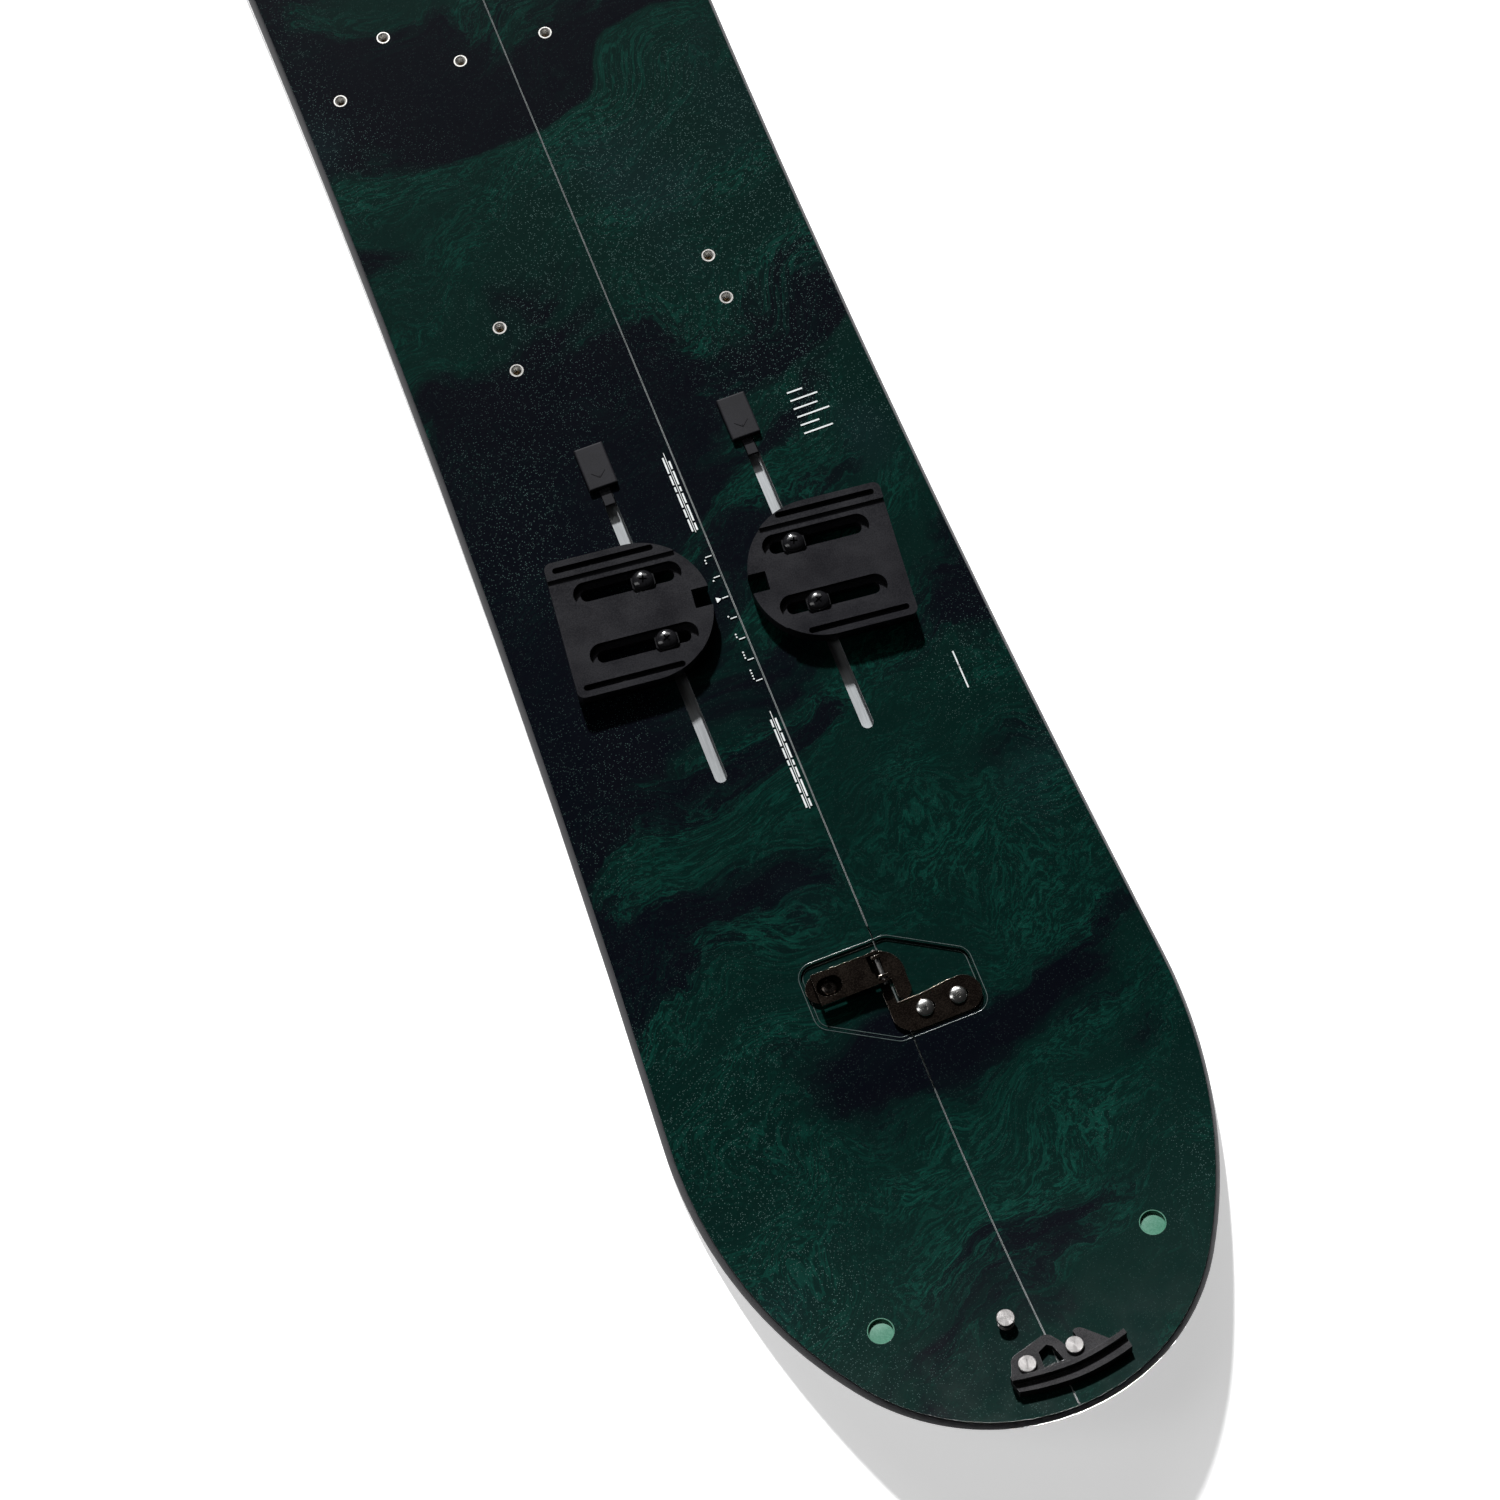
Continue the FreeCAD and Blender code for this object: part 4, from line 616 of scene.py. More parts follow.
def eased_copy(node, body, slot, material, width, edge_material=None, segments=2, shrink=0.0):
    """A CAD node remade with eased edges, and drawn in a little where it would rub a neighbour."""
    work = merged(node)
    work.normal_update()
    inward = [vert.normal * vert.calc_shell_factor() * shrink * MM for vert in work.verts]
    for vert, step in zip(work.verts, inward):
        vert.co -= step
    piece = from_bmesh(node + "_eased", work, material)
    ease(piece, width, segments, edge_material)
    return tie(piece, body, slot, node)


def solids(node):
    """The corner points of each separate solid of a CAD node."""
    work = merged(node)
    unseen = set(work.verts)
    found = []
    while unseen:
        island = [unseen.pop()]
        for vert in island:
            for edge in vert.link_edges:
                other = edge.other_vert(vert)
                if other in unseen:
                    unseen.remove(other)
                    island.append(other)
        found.append(np.array([vert.co[:] for vert in island]))
    work.free()
    return sorted(found, key=lambda points: tuple(points.mean(0).round(4)))


def tops(node):
    """The top point on each solid's own axis, square to the board, and that axis."""
    found = []
    for points in solids(node):
        normal = board_normal(float(points[:, 1].mean()) / MM)
        across = Vector((1, 0, 0))
        along = normal.cross(across)
        spans = [points @ np.array(axis) for axis in (across, along)]
        middle = [(span.min() + span.max()) / 2 for span in spans]
        top = float((points @ np.array(normal)).max())
        found.append((across * middle[0] + along * middle[1] + normal * top, normal))
    return found


print("puck screws of one puck:", [[round(value / MM, 1) for value in spot]
                                  for spot, axis in tops("rear_left_puck_screws")])

# %% [markdown]
# ## Topsheets, and the layers under them
# The topsheet keeps the CAD shape, with every cut-out and the shallow hook recesses. A moulded
# topsheet bends smoothly from tip to tail, and flat triangles would break its gloss into patches, so
# every face that lies on the board's surface takes the board's own normal. The CAD nodes below it
# already have the right shape, so they only get their finishes.

# %% Topsheets
ON_SURFACE = 0.12


def smooth_to_board(piece):
    """Gives each corner that lies on the board's own surface the board's normal."""
    mesh = piece.data
    normals = []
    for face in mesh.polygons:
        for index in face.loop_indices:
            spot = mesh.vertices[mesh.loops[index].vertex_index].co / MM
            on_top = face.normal.z > 0.8 and abs(top_line(spot.y)[0] - spot.z) < ON_SURFACE
            normals.append(board_normal(spot.y) if on_top else mesh.corner_normals[index].vector)
    mesh.normals_split_custom_set([tuple(normal) for normal in normals])


for half in HALVES:
    sheet = eased_copy(half + "_topsheet", half + "_ski", "topsheet", TOPSHEET, 0.32, TOPSHEET_EDGE_HIGHLIGHT)
    smooth_to_board(sheet)
    print(sheet.name, len(sheet.data.polygons), "faces")

# %% Finishes on the CAD nodes that stay


def finish_node(node, material):
    """Gives a CAD node's own object a finish."""
    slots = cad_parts[node].data.materials
    slots.clear()
    slots.append(material)


for half in HALVES:
    finish_node(half + "_base", BASE_PLASTIC)
    finish_node(half + "_steel_edge", EDGE_STEEL)
    finish_node(half + "_core", CORE_WOOD)
    for end in ENDS:
        finish_node("%s_%s_track" % (end, half), CHANNEL_METAL)
        finish_node("%s_%s_puck_channel_nuts" % (end, half), NUT_STEEL)
print("finishes set on the base, edges, cores, tracks and channel nuts")

# %% [markdown]
# ## Sidewalls
# The outer sidewall leans in from the steel edge to the topsheet, so that from above it shows as a
# dark band round the board. A small section, swept along the outline, gives that lean without any
# facets. The seam has a thin pale strip instead, which shows as the fine line down the board.

# %% Outer sidewalls
EDGE_SHARE = 0.22
WALL_SHARP = math.radians(50)
WALL_SECTION = [(0.0, EDGE_SHARE), (0.25, 0.36), (2.55, 0.84), (3.1, 0.905), (3.35, 0.915), (5.9, 0.915),
                (5.9, EDGE_SHARE)]


def swept(name, side, sections, material, sharp=SHARP):
    """A closed section carried along the board; each is a list of (x, y, z) in mm."""
    work = bmesh.new()
    rings = [[work.verts.new((side * x * MM, y * MM, z * MM)) for x, y, z in section]
             for section in sections]
    for one, two in zip(rings, rings[1:]):
        for index in range(len(one)):
            after = (index + 1) % len(one)
            work.faces.new((one[index], one[after], two[after], two[index]))
    work.faces.new(rings[0])
    work.faces.new(rings[-1][::-1])
    return from_bmesh(name, work, material, sharp)


def wall_sections():
    """The section at each point of a half's outer edge; shares of thickness give its heights."""
    runs = [plan_outline(inset) for inset, share in WALL_SECTION]
    return [[(x, y, level(y, share)) for (x, y), (inset, share) in zip(spots, WALL_SECTION)]
            for spots in zip(*runs)]


for half, side in HALVES.items():
    wall = swept(half + "_outer_sidewall", side, wall_sections(), SIDEWALL_PLASTIC, WALL_SHARP)
    tie(wall, half + "_ski", "sidewall_plastic")
    print(wall.name, len(wall.data.polygons), "faces")

# %% [markdown]
# ## The strip along the seam
# A narrow strip closes each half along the seam. It follows the board's side line, and it drops
# under the hook recesses, where the topsheet dips. It takes its dips from the hooks' own places.

# %% Seam strips
STRIP_INNER, STRIP_OUTER = 0.16, 5.9
STRIP_DROP, RECESS_DROP = 0.68, 2.35
DIP_REACH, DIP_SLOPE = 46.0, 0.01
STRIP_STEPS = 150


def middle_of(node):
    low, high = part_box(node)
    return (low + high) / 2 / MM


HOOK_PLACES = {end: middle_of(end + "_catch_plate").y for end in ENDS}


def strip_top(y):
    """The strip's upper edge: just below the topsheet's surface, and lower under a hook."""
    near = min(abs(y - place) for place in HOOK_PLACES.values())
    return top_line(y)[0] - (RECESS_DROP if near < DIP_REACH else STRIP_DROP)


def strip_sections():
    tips = plan_outline(STRIP_OUTER)
    breaks = [place + sign * (DIP_REACH + slope) for place in HOOK_PLACES.values()
              for sign in (-1, 1) for slope in (-DIP_SLOPE, DIP_SLOPE)]
    for y in sorted(list(np.linspace(tips[0][1], tips[-1][1], STRIP_STEPS)) + breaks):
        bottom, top = level(y, EDGE_SHARE), strip_top(y)
        yield [(STRIP_INNER, y, bottom), (STRIP_OUTER, y, bottom),
               (STRIP_OUTER, y, top), (STRIP_INNER, y, top)]


for half, side in HALVES.items():
    strip = swept(half + "_seam_strip", side, strip_sections(), SEAM_PLASTIC)
    tie(strip, half + "_ski", "sidewall_plastic", half + "_sidewall")
    print(strip.name, len(strip.data.polygons), "faces")

# %% [markdown]
# ## Shapes of turning, and copies made by Geometry Nodes
# Screws and pins are turned on a lathe, so each is a profile spun about an axis. The same screw is
# then set at every place by one small node tree, whose inputs are the shape and the finish. The
# places come from the CAD model's own solids, with the board's normal stored beside each as "axis".

# %% Turned shapes
RIM_SHARE = 0.3
DOME_RINGS = 7
BLADE_TAPER = 0.55
CROSS_TURN = 0.1


def turned(profile, steps=48, ring=False):
    """A solid of revolution about Z, from (radius, height) pairs; a ring's last pair meets its first."""
    work = bmesh.new()
    rings = []
    for radius, height in profile:
        if radius < 1e-6:
            rings.append([work.verts.new((0, 0, height * MM))])
            continue
        turns = [2 * math.pi * index / steps for index in range(steps)]
        rings.append([work.verts.new((radius * math.cos(turn) * MM, radius * math.sin(turn) * MM,
                                      height * MM)) for turn in turns])
    pairs = list(zip(rings, rings[1:])) + ([(rings[-1], rings[0])] if ring else [])
    for low, high in pairs:
        for index in range(steps):
            ends = [low[index % len(low)], low[(index + 1) % len(low)],
                    high[(index + 1) % len(high)], high[index % len(high)]]
            corners = list(dict.fromkeys(ends))
            if len(corners) > 2:
                work.faces.new(corners)
    return work


def domed_profile(radius, height, shank, length):
    """A screw seen from the side, its highest point at height 0."""
    edge = -height * (1 - RIM_SHARE)
    dome = [(radius * math.cos(turn), edge - edge * math.sin(turn))
            for turn in np.linspace(0, math.pi / 2, DOME_RINGS)]
    dome[-1] = (0, 0)
    ease_low = radius * 0.06
    return [(0, -height - length), (shank, -height - length), (shank, -height),
            (radius - ease_low, -height), (radius, -height + ease_low)] + dome


def cut_with(piece, cutter):
    """Takes one mesh out of another."""
    cut = piece.modifiers.new("recess", "BOOLEAN")
    cut.object = cutter
    cut.solver = "EXACT"
    settle(piece)
    bpy.data.objects.remove(cutter)


def blade_cutter(width, reach, depth, turn):
    """One tapered blade of a cross recess."""
    work = bmesh.new()
    for vert in bmesh.ops.create_cube(work, size=1.0)["verts"]:
        taper = BLADE_TAPER if vert.co.z < 0 else 1.0
        vert.co = Vector((vert.co.x * reach * 2 * taper, vert.co.y * width * taper,
                          0.5 if vert.co.z > 0 else -depth)) * MM
    bmesh.ops.rotate(work, verts=work.verts, cent=(0, 0, 0), matrix=Matrix.Rotation(turn, 3, "Z"))
    return from_bmesh("blade_cutter", work, BLACK_SCREW)


def hex_cutter(across, depth):
    work = bmesh.new()
    bmesh.ops.create_cone(work, segments=6, radius1=across / 2 * MM, radius2=across / 2 * MM,
                          depth=depth * 2 * MM, cap_ends=True)
    return from_bmesh("hex_cutter", work, BLACK_SCREW)


def screw_shape(name, radius, height, shank, length, cutters):
    piece = from_bmesh(name, turned(domed_profile(radius, height, shank, length)), BLACK_SCREW)
    for cutter in cutters:
        cut_with(piece, cutter)
    return piece


def cross(width, reach, depth):
    return [blade_cutter(width, reach, depth, turn) for turn in (CROSS_TURN, math.pi / 2 + CROSS_TURN)]


PUCK_SCREW = screw_shape("puck_screw_shape", 5.8, 3.8, 2.9, 11.3, cross(1.0, 2.4, 2.6))
CATCH_SCREW = screw_shape("catch_screw_shape", 4.7, 2.2, 2.35, 7.2, cross(0.9, 2.1, 1.6))
SOCKET_SCREW = screw_shape("socket_screw_shape", 4.7, 2.2, 2.35, 7.2, [hex_cutter(3.4, 1.5)])
print("screw faces:", [len(shape.data.polygons) for shape in (PUCK_SCREW, CATCH_SCREW, SOCKET_SCREW)])

# %% A node tree that sets copies of a shape on points
PLACE_DATA = (("axis", "FLOAT_VECTOR", "vector"), ("turn", "FLOAT", "value"),
              ("size", "FLOAT_VECTOR", "vector"))


def new_tree(name, **inputs):
    """A Geometry Nodes tree with these further inputs, and the nodes at its two ends."""
    tree = bpy.data.node_groups.new(name, "GeometryNodeTree")
    for label, kind in (("Geometry", "Geometry"), *inputs.items()):
        tree.interface.new_socket(label, in_out="INPUT", socket_type="NodeSocket" + kind)
    tree.interface.new_socket("Geometry", in_out="OUTPUT", socket_type="NodeSocketGeometry")
    return tree, tree.nodes.new("NodeGroupInput"), tree.nodes.new("NodeGroupOutput")


def close_tree(tree, entry, leave, source):
    """Makes the tree's shapes real and gives them the finish."""
    real = add_node(tree, "GeometryNodeRealizeInstances", Geometry=source)
    finish = add_node(tree, "GeometryNodeSetMaterial", Geometry=(real, 0), Material=(entry, "Finish"))
    tree.links.new(finish.outputs[0], leave.inputs[0])
    return tree


def run_tree(name, tree, points, edges, columns=(), **values):
    """Feeds points to a tree with its inputs set by name, and works the result into a mesh."""
    mesh = bpy.data.meshes.new(name)
    mesh.from_pydata(points, edges, [])
    for (label, kind, key), column in zip(PLACE_DATA, columns):
        layer = mesh.attributes.new(label, kind, "POINT")
        layer.data.foreach_set(key, np.array(column, np.float32).ravel())
    piece = add_object(name, mesh)
    maker = piece.modifiers.new("maker", "NODES")
    maker.node_group = tree
    for item in tree.interface.items_tree:
        if item.in_out == "INPUT" and item.name in values:
            maker[item.identifier] = values[item.name]
    return settle(piece)


def copies_tree():
    """Points in, copies of a shape out, each turned to the point's own axis and spun by its turn."""
    tree, entry, leave = new_tree("set_copies", Shape="Object", Finish="Material")
    shape = add_node(tree, "GeometryNodeObjectInfo", Object=(entry, "Shape"))
    axis, spin, size = [add_node(tree, "GeometryNodeInputNamedAttribute", data_type=kind, Name=label)
                        for label, kind, key in PLACE_DATA]
    upright = add_node(tree, "FunctionNodeAlignRotationToVector", axis="Z", Vector=(axis, 0))
    about = add_node(tree, "FunctionNodeAxisAngleToRotation", Axis=(0, 0, 1), Angle=(spin, 0))
    both = add_node(tree, "FunctionNodeRotateRotation", rotation_space="LOCAL", i0=(upright, 0),
                    i1=(about, 0))
    copies = add_node(tree, "GeometryNodeInstanceOnPoints", Points=(entry, "Geometry"),
                      Instance=(shape, "Geometry"), Rotation=(both, 0), Scale=(size, 0))
    return close_tree(tree, entry, leave, (copies, 0))


COPIES = copies_tree()


def set_copies(name, shape, places, material, body, slot, *nodes):
    """Copies of a shape, tied to a body. A place is a point and an axis, and may add a turn and a size."""
    rows = [tuple(place) + (0.0, (1, 1, 1))[len(place) - 2:] for place in places]
    points, axes, turns, sizes = zip(*rows)
    columns = ([tuple(axis) for axis in axes], turns, sizes)
    piece = run_tree(name, COPIES, points, [], columns, Shape=shape, Finish=material)
    piece.data.name = name
    piece.data.set_sharp_from_angle(angle=SHARP)
    return tie(piece, body, slot, *nodes)


print("copy tree inputs:", [item.name for item in COPIES.interface.items_tree if item.in_out == "INPUT"])

# %% [markdown]
# ## Inserts and hole plugs
# The inserts are turned steel bushes with a thread inside, set flush in the topsheet. The holes
# near the corners are lined with small moulded cups. Each is one turned shape, set by the tree.

# %% Inserts and hole plugs
PITCH, TOOTH = 1.0, 0.34


def depth_of(node):
    """How long a node's first solid is, measured square to the board, in mm."""
    points = solids(node)[0]
    heights = points @ np.array(board_normal(float(points[:, 1].mean()) / MM))
    return float(heights.max() - heights.min()) / MM


def threaded_bush(outer, crest, length):
    """A bush with rings for a thread; crest is the bore's own radius."""
    root = crest + TOOTH
    profile = [(outer, -length), (outer, -0.25), (outer - 0.25, 0), (root + 0.35, 0), (root, -0.35)]
    height = -0.35
    while height - PITCH > -length:
        profile += [(crest, height - PITCH / 2), (root, height - PITCH)]
        height -= PITCH
    profile += [(root, -length)]
    return turned(profile, 28, ring=True)


BUSH_LENGTH = depth_of("left_inserts")
BUSH = from_bmesh("threaded_bush", threaded_bush(4.0, 2.5, BUSH_LENGTH), INSERT_STEEL)
CUP_DEPTH = depth_of("left_skin_hole_plugs")
CUP = from_bmesh("hole_cup", turned([
    (0, -CUP_DEPTH), (6.6, -CUP_DEPTH), (6.85, -CUP_DEPTH + 0.25), (6.85, -0.12), (6.73, 0),
    (6.45, 0), (6.3, -0.15), (6.3, -1.75), (5.9, -2.15), (3.4, -2.0), (0, -1.9)], 44), HOLE_PLASTIC)
for half in HALVES:
    bushes = set_copies(half + "_threaded_bushes", BUSH, tops(half + "_inserts"), INSERT_STEEL,
                        half + "_ski", "insert_steel", half + "_inserts")
    cups = set_copies(half + "_hole_cups", CUP, tops(half + "_skin_hole_plugs"), HOLE_PLASTIC,
                      half + "_ski", "hole_plug_plastic", half + "_skin_hole_plugs")
    print(half, "bushes", len(bushes.data.polygons), "faces; cups", len(cups.data.polygons))

# %% [markdown]
# ## Pucks, the screws that clamp them, and the channel plugs
# The pucks are moulded nylon and keep the CAD shape, with slightly eased edges that are coloured lighter
# as a painted highlight. Each is held by two black screws on square washers, and a soft plug with a raised
# arrow covers the end of each channel. The arrow, and later the printed marks, are made of flat tiles, so
# the tiles come first.

# %% Flat tiles, for raised and printed marks
TILE_LOW, TILE_HIGH = -0.2, 0.06


def tile_shape(name, steps):
    """A flat tile one millimetre across: square for four steps, round for many."""
    radius = 0.5 / math.cos(math.pi / steps) if steps < 8 else 0.5
    work = turned([(0, TILE_LOW), (radius, TILE_LOW), (radius, TILE_HIGH), (0, TILE_HIGH)], steps)
    if steps == 4:
        turn = Matrix.Rotation(math.pi / 4, 3, "Z")
        bmesh.ops.rotate(work, verts=work.verts, cent=(0, 0, 0), matrix=turn)
    return from_bmesh(name, work, PRINT_WHITE)


SQUARE, DOT, TRIANGLE = [tile_shape(name + "_tile", steps)
                         for name, steps in (("square", 4), ("round", 14), ("triangle", 3))]
print("tile faces:", [len(shape.data.polygons) for shape in (SQUARE, DOT, TRIANGLE)])

# %% Pucks, screws, washers and plugs


ARROW_SPREAD = 1.75
ARROW_TURN = math.radians(42)
ARROW_BAR = (5.2, 0.9, 3.2)


def spun(places, start, step):
    """The same places with a different spin for each, as screws are left."""
    return [(spot, axis, start + step * index) for index, (spot, axis) in enumerate(places)]


def arrow_bars(node, sign):
    """Two raised bars on a plug, which make the arrow that shows which way it lifts."""
    spot, axis = tops(node)[0]
    return [(spot + Vector((ARROW_SPREAD * side * sign * MM, 0, 0)), axis, ARROW_TURN * side, ARROW_BAR)
            for side in (-1, 1)]


for end in ENDS:
    for half in HALVES:
        place = end + "_" + half
        eased_copy(place + "_puck", place + "_puck", "puck_plastic", PUCK_PLASTIC, 0.5, PLASTIC_EDGE_HIGHLIGHT)
        eased_copy(place + "_puck_washers", place + "_clamp", "washer_black", BLACK_WASHER, 0.18,
                   segments=1, shrink=0.07)
        eased_copy(place + "_channel_plug", place + "_plug", "plug_rubber", PLUG_RUBBER, 0.4)
        set_copies(place + "_screws", PUCK_SCREW, spun(tops(place + "_puck_screws"), 0.35, 0.8),
                   BLACK_SCREW, place + "_clamp", "screw_black", place + "_puck_screws")
for end, sign in ENDS.items():
    for half in HALVES:
        place = end + "_" + half
        set_copies(place + "_plug_arrow", SQUARE, arrow_bars(place + "_channel_plug", sign), PLUG_RUBBER,
                   place + "_plug", "plug_rubber")

# %% [markdown]
# ## Hooks, levers and clips
# The hooks are stamped and folded steel with a dark finish, and their eased edges are coloured bright as a
# painted highlight. The clip is moulded plastic on three turned pins, whose faces still show the lathe's
# rings, and its eased edges are coloured lighter as a painted highlight.

# %% Hooks and levers
LEVER_HALF = {"rear": "left", "front": "right"}
CATCH_HALF = {"rear": "right", "front": "left"}

for end in ENDS:
    lever_ski, catch_ski = LEVER_HALF[end] + "_ski", CATCH_HALF[end] + "_ski"
    for label, body, width in (("_hook_plate", lever_ski, 0.28), ("_catch_plate", catch_ski, 0.28),
                               ("_hook_lever", end + "_lever", 0.32)):
        eased_copy(end + label, body, "hook_steel", HOOK_STEEL, width, HOOK_EDGE_HIGHLIGHT)
    eased_copy(end + "_hinge_pin", lever_ski, "pin_steel", PIN_STEEL, 0.22, segments=1)
    for label, shape, finish, ski, slot, node in (
            ("_socket_screws", SOCKET_SCREW, SOCKET_STEEL, lever_ski, "socket_screw_steel",
             "_lever_side_screws"),
            ("_cross_screws", CATCH_SCREW, BRIGHT_STEEL, catch_ski, "screw_steel", "_catch_screws")):
        screws = set_copies(end + label, shape, spun(tops(end + node), 0.5, 1.1), finish, ski, slot,
                            end + node)
        print(screws.name, len(screws.data.polygons), "faces")

# %% Clips and their pins


def pin_shape(height):
    """The clip pins' shape, with each face mapped by its distance from the axis, in mm."""
    head = 7.0
    work = turned([
        (0, -height), (2.55, -height), (2.8, -height + 0.25), (2.8, -head), (4.2, -head),
        (4.2, -head + 1.2), (2.8, -head + 1.2), (2.8, -1.7), (4.3, -1.7), (4.6, -1.4), (4.6, -0.35),
        (4.25, -0.02), (3.4, 0), (2.2, -0.1), (1.0, -0.16), (0, -0.18)], 56)
    face_map = work.loops.layers.uv.new("about_axis")
    for face in work.faces:
        for loop in face.loops:
            loop[face_map].uv = (loop.vert.co.x / MM, loop.vert.co.y / MM)
    return from_bmesh("clip_pin_shape", work, PIN_STEEL)


PIN = pin_shape(depth_of("rear_pivot_pin"))
for end in ENDS:
    eased_copy(end + "_clip", end + "_clip", "clip_plastic", CLIP_PLASTIC, 0.4, PLASTIC_EDGE_HIGHLIGHT)
    for label, halves in (("pivot", LEVER_HALF), ("stow", LEVER_HALF), ("catch", CATCH_HALF)):
        node = "%s_%s_pin" % (end, label)
        set_copies(node + "_turned", PIN, tops(node), PIN_STEEL, halves[end] + "_ski", "pin_steel", node)
print("a pin:", len(PIN.data.polygons), "faces,", round(depth_of("rear_pivot_pin"), 2), "mm long")

# %% [markdown]
# ## The rolled rim of each hook recess
# The topsheet is pressed down round each hook and leaves a rounded rim that catches the light. The
# rim is also coloured lighter than the topsheet, a painted highlight along it. A small node tree sweeps
# a round section along a path, once for each half, so it parts at the seam.

# %% Recess rims
HOOK_MARK = {"rear": -548.5, "front": 498.0}
RECESS_CENTRES = ((-36.0, 19.5), (4.0, 19.5), (36.0, 1.0), (36.0, -19.5), (-4.0, -19.5), (-36.0, -1.0))
RECESS_CORNER = 8.0
CORNER_STEPS = 9
RIMS = (("outer", RECESS_CORNER + 0.35, -0.05), ("inner", RECESS_CORNER - 1.9, -1.52))
RIM_RADIUS = 0.24
RIM_GAP = 0.45


def bead_tree():
    """A path in, a round bead along it out."""
    tree, entry, leave = new_tree("sweep_bead", Radius="Float", Finish="Material")
    path = add_node(tree, "GeometryNodeMeshToCurve", Mesh=(entry, "Geometry"))
    section = add_node(tree, "GeometryNodeCurvePrimitiveCircle", Resolution=8, Radius=(entry, "Radius"))
    tube = add_node(tree, "GeometryNodeCurveToMesh", i0=(path, 0), i1=(section, 0))
    tube.inputs["Fill Caps"].default_value = True
    return close_tree(tree, entry, leave, (tube, 0))


BEADS = bead_tree()


def bead(name, points, radius, material):
    edges = [(index, index + 1) for index in range(len(points) - 1)]
    piece = run_tree(name, BEADS, points, edges, Radius=radius * MM, Finish=material)
    work = bmesh.new()
    work.from_mesh(piece.data)
    bmesh.ops.recalc_face_normals(work, faces=work.faces)
    for face in work.faces:
        face.smooth = True
    work.to_mesh(piece.data)
    work.free()
    return piece


def recess_path(reach):
    """The recess outline in the hook's own plan: arcs about six centres, joined by straights."""
    points = []
    for index, centre in enumerate(RECESS_CENTRES):
        before = Vector(RECESS_CENTRES[index - 1])
        after = Vector(RECESS_CENTRES[(index + 1) % len(RECESS_CENTRES)])
        spot = Vector(centre)
        into, out = (spot - before).normalized(), (after - spot).normalized()
        start = math.atan2(into.x, -into.y)
        turn = math.atan2(into.cross(out), into.dot(out))
        points += [spot + reach * Vector((math.cos(start + turn * step), math.sin(start + turn * step)))
                   for step in np.linspace(0, 1, CORNER_STEPS)]
    return points


def crossing_seam(one, two, gap):
    share = (gap - one.x) / (two.x - one.x)
    return one + (two - one) * share


def half_path(points, side):
    """The part of a closed path on one side of the seam, in order along it."""
    wall = side * RIM_GAP
    inside = [point.x * side > RIM_GAP for point in points]
    count = len(points)
    start = next(index for index in range(count) if inside[index] and not inside[index - 1])
    kept = [crossing_seam(points[start - 1], points[start], wall)]
    index = start
    while inside[index % count]:
        kept.append(points[index % count])
        index += 1
    return kept + [crossing_seam(points[(index - 1) % count], points[index % count], wall)]


for end, sign in ENDS.items():
    for half, side in HALVES.items():
        for label, reach, height in RIMS:
            flat = half_path([point * sign for point in recess_path(reach)], side)
            path = [stand(point.x, HOOK_MARK[end] + point.y, height) for point in flat]
            rim = bead("%s_%s_%s_rim" % (end, half, label), path, RIM_RADIUS, TOPSHEET_EDGE_HIGHLIGHT)
            tie(rim, half + "_ski", "topsheet")

# %% [markdown]
# ## Printed marks
# Stance marks run beside the seam, with dots and a triangle to tell them apart, and plain bars stand
# where small print would be. They are thin tiles set on the topsheet by the same tree.

# %% Marks
STANCE_MARK = {"rear": -316.0, "front": 244.0}
MARK_STEP = 12.65
BAR_X, DOT_X, ARROW_X = -3.1, -5.6, -7.2
SMALL_PRINT = ((41.0, 91.0), (-127.0, -69.0))
WORDS = (4.5, 10.0, 6.0, 3.0, 8.5, 5.0, 7.5)
WORD_GAP = 1.3
LABEL_WIDE = (17, 11, 19, 14, 16, 9)
LABEL_TALL = (22, 16)


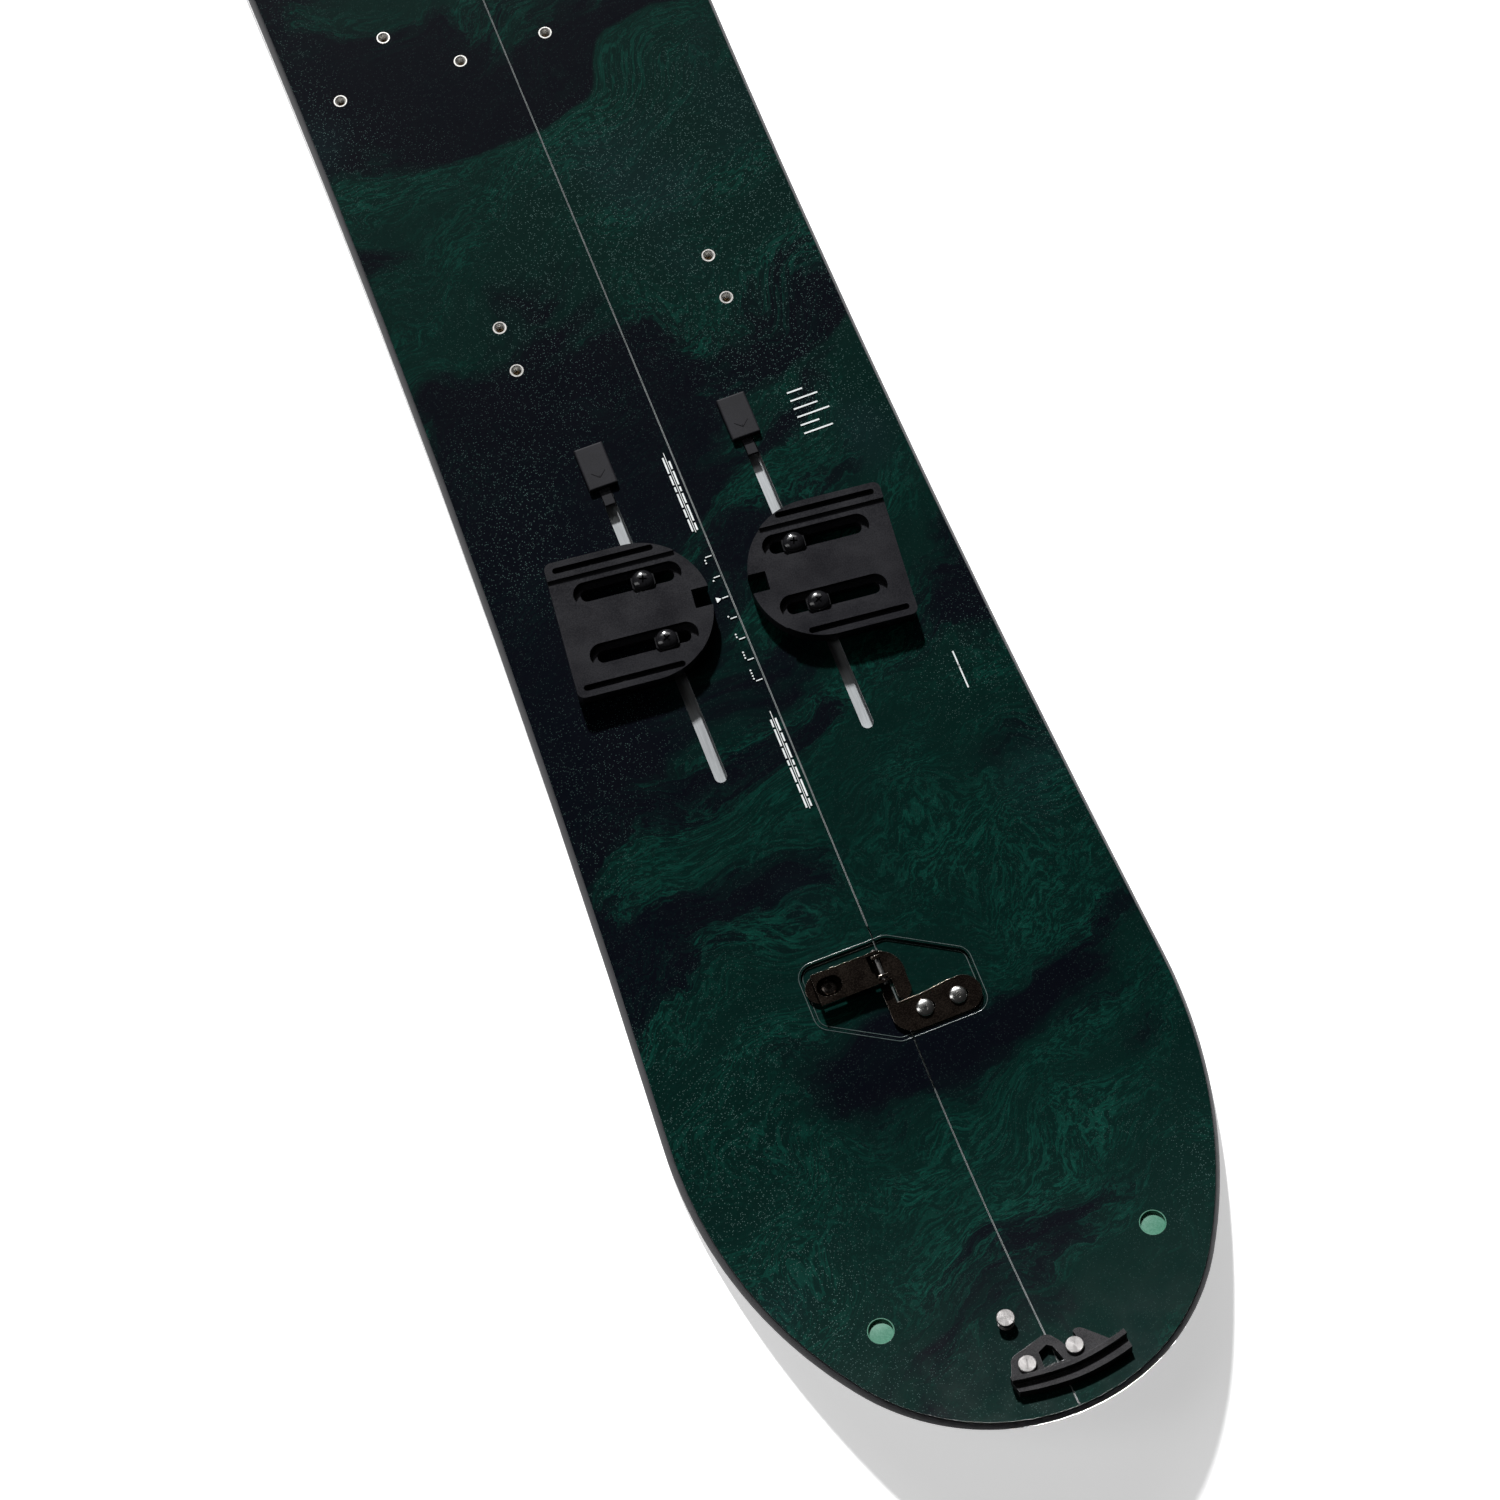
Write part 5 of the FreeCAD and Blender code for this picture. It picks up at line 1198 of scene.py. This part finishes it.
def mark(end, x, y, width, length):
    """One mark, given from the stance mark at the rear; the front's are turned half round."""
    x, y = x * ENDS[end], STANCE_MARK[end] + y * ENDS[end]
    return stand(x, y), board_normal(y), 0.0, (width, length, 1)


def stance_marks(end):
    """Seven bars; each has as many dots as steps from the middle one, on the side towards it."""
    bars, dots, arrows = [], [], [mark(end, ARROW_X, 0, 1.9, 1.9)]
    for step in range(-4, 3):
        y = step * MARK_STEP
        bars.append(mark(end, BAR_X, y, 3.6, 0.55))
        inward = 1 if step < 0 else -1
        dots += [mark(end, DOT_X, y + (1.6 + 1.7 * index) * inward, 0.95, 0.95) for index in range(abs(step))]
    for low, high in SMALL_PRINT:
        bars.append(mark(end, -4.3, (low + high) / 2, 0.35, high - low))
        for column, lengths in ((-3.0, WORDS), (-5.7, WORDS[::-1])):
            start = low + 1.0
            for length in lengths:
                if start + length < high:
                    bars.append(mark(end, column, start + length / 2, 0.95, length))
                start += length + WORD_GAP
    return bars, dots, arrows


def label_marks(end):
    """Plain bars where the specification block would be."""
    across = [mark(end, 82.0 - (LABEL_WIDE[2] - length) / 2, 74.0 + row * 5.2, length, 0.9)
              for row, length in enumerate(LABEL_WIDE)]
    return across + [mark(end, 100.0, -84.0 + row * 3.0, 0.8, length)
                     for row, length in enumerate(LABEL_TALL)]


for end in ENDS:
    bars, dots, arrows = stance_marks(end)
    ski = ("left" if end == "rear" else "right") + "_ski"
    other = ("right" if end == "rear" else "left") + "_ski"
    for label, shape, places in (("bars", SQUARE, bars), ("dots", DOT, dots), ("arrow", TRIANGLE, arrows)):
        set_copies("%s_stance_%s" % (end, label), shape, places, PRINT_WHITE, ski, "topsheet")
    set_copies(end + "_label_bars", SQUARE, label_marks(end), PRINT_WHITE, other, "topsheet")
    print(end, len(bars), "bars,", len(dots), "dots")

# %% [markdown]
# ## The end
# The shapes that were only used as patterns are taken out.

# %% Clearing the patterns
for shape in (PUCK_SCREW, CATCH_SCREW, SOCKET_SCREW, BUSH, CUP, PIN, SQUARE, DOT, TRIANGLE):
    bpy.data.objects.remove(shape)
bpy.context.view_layer.update()
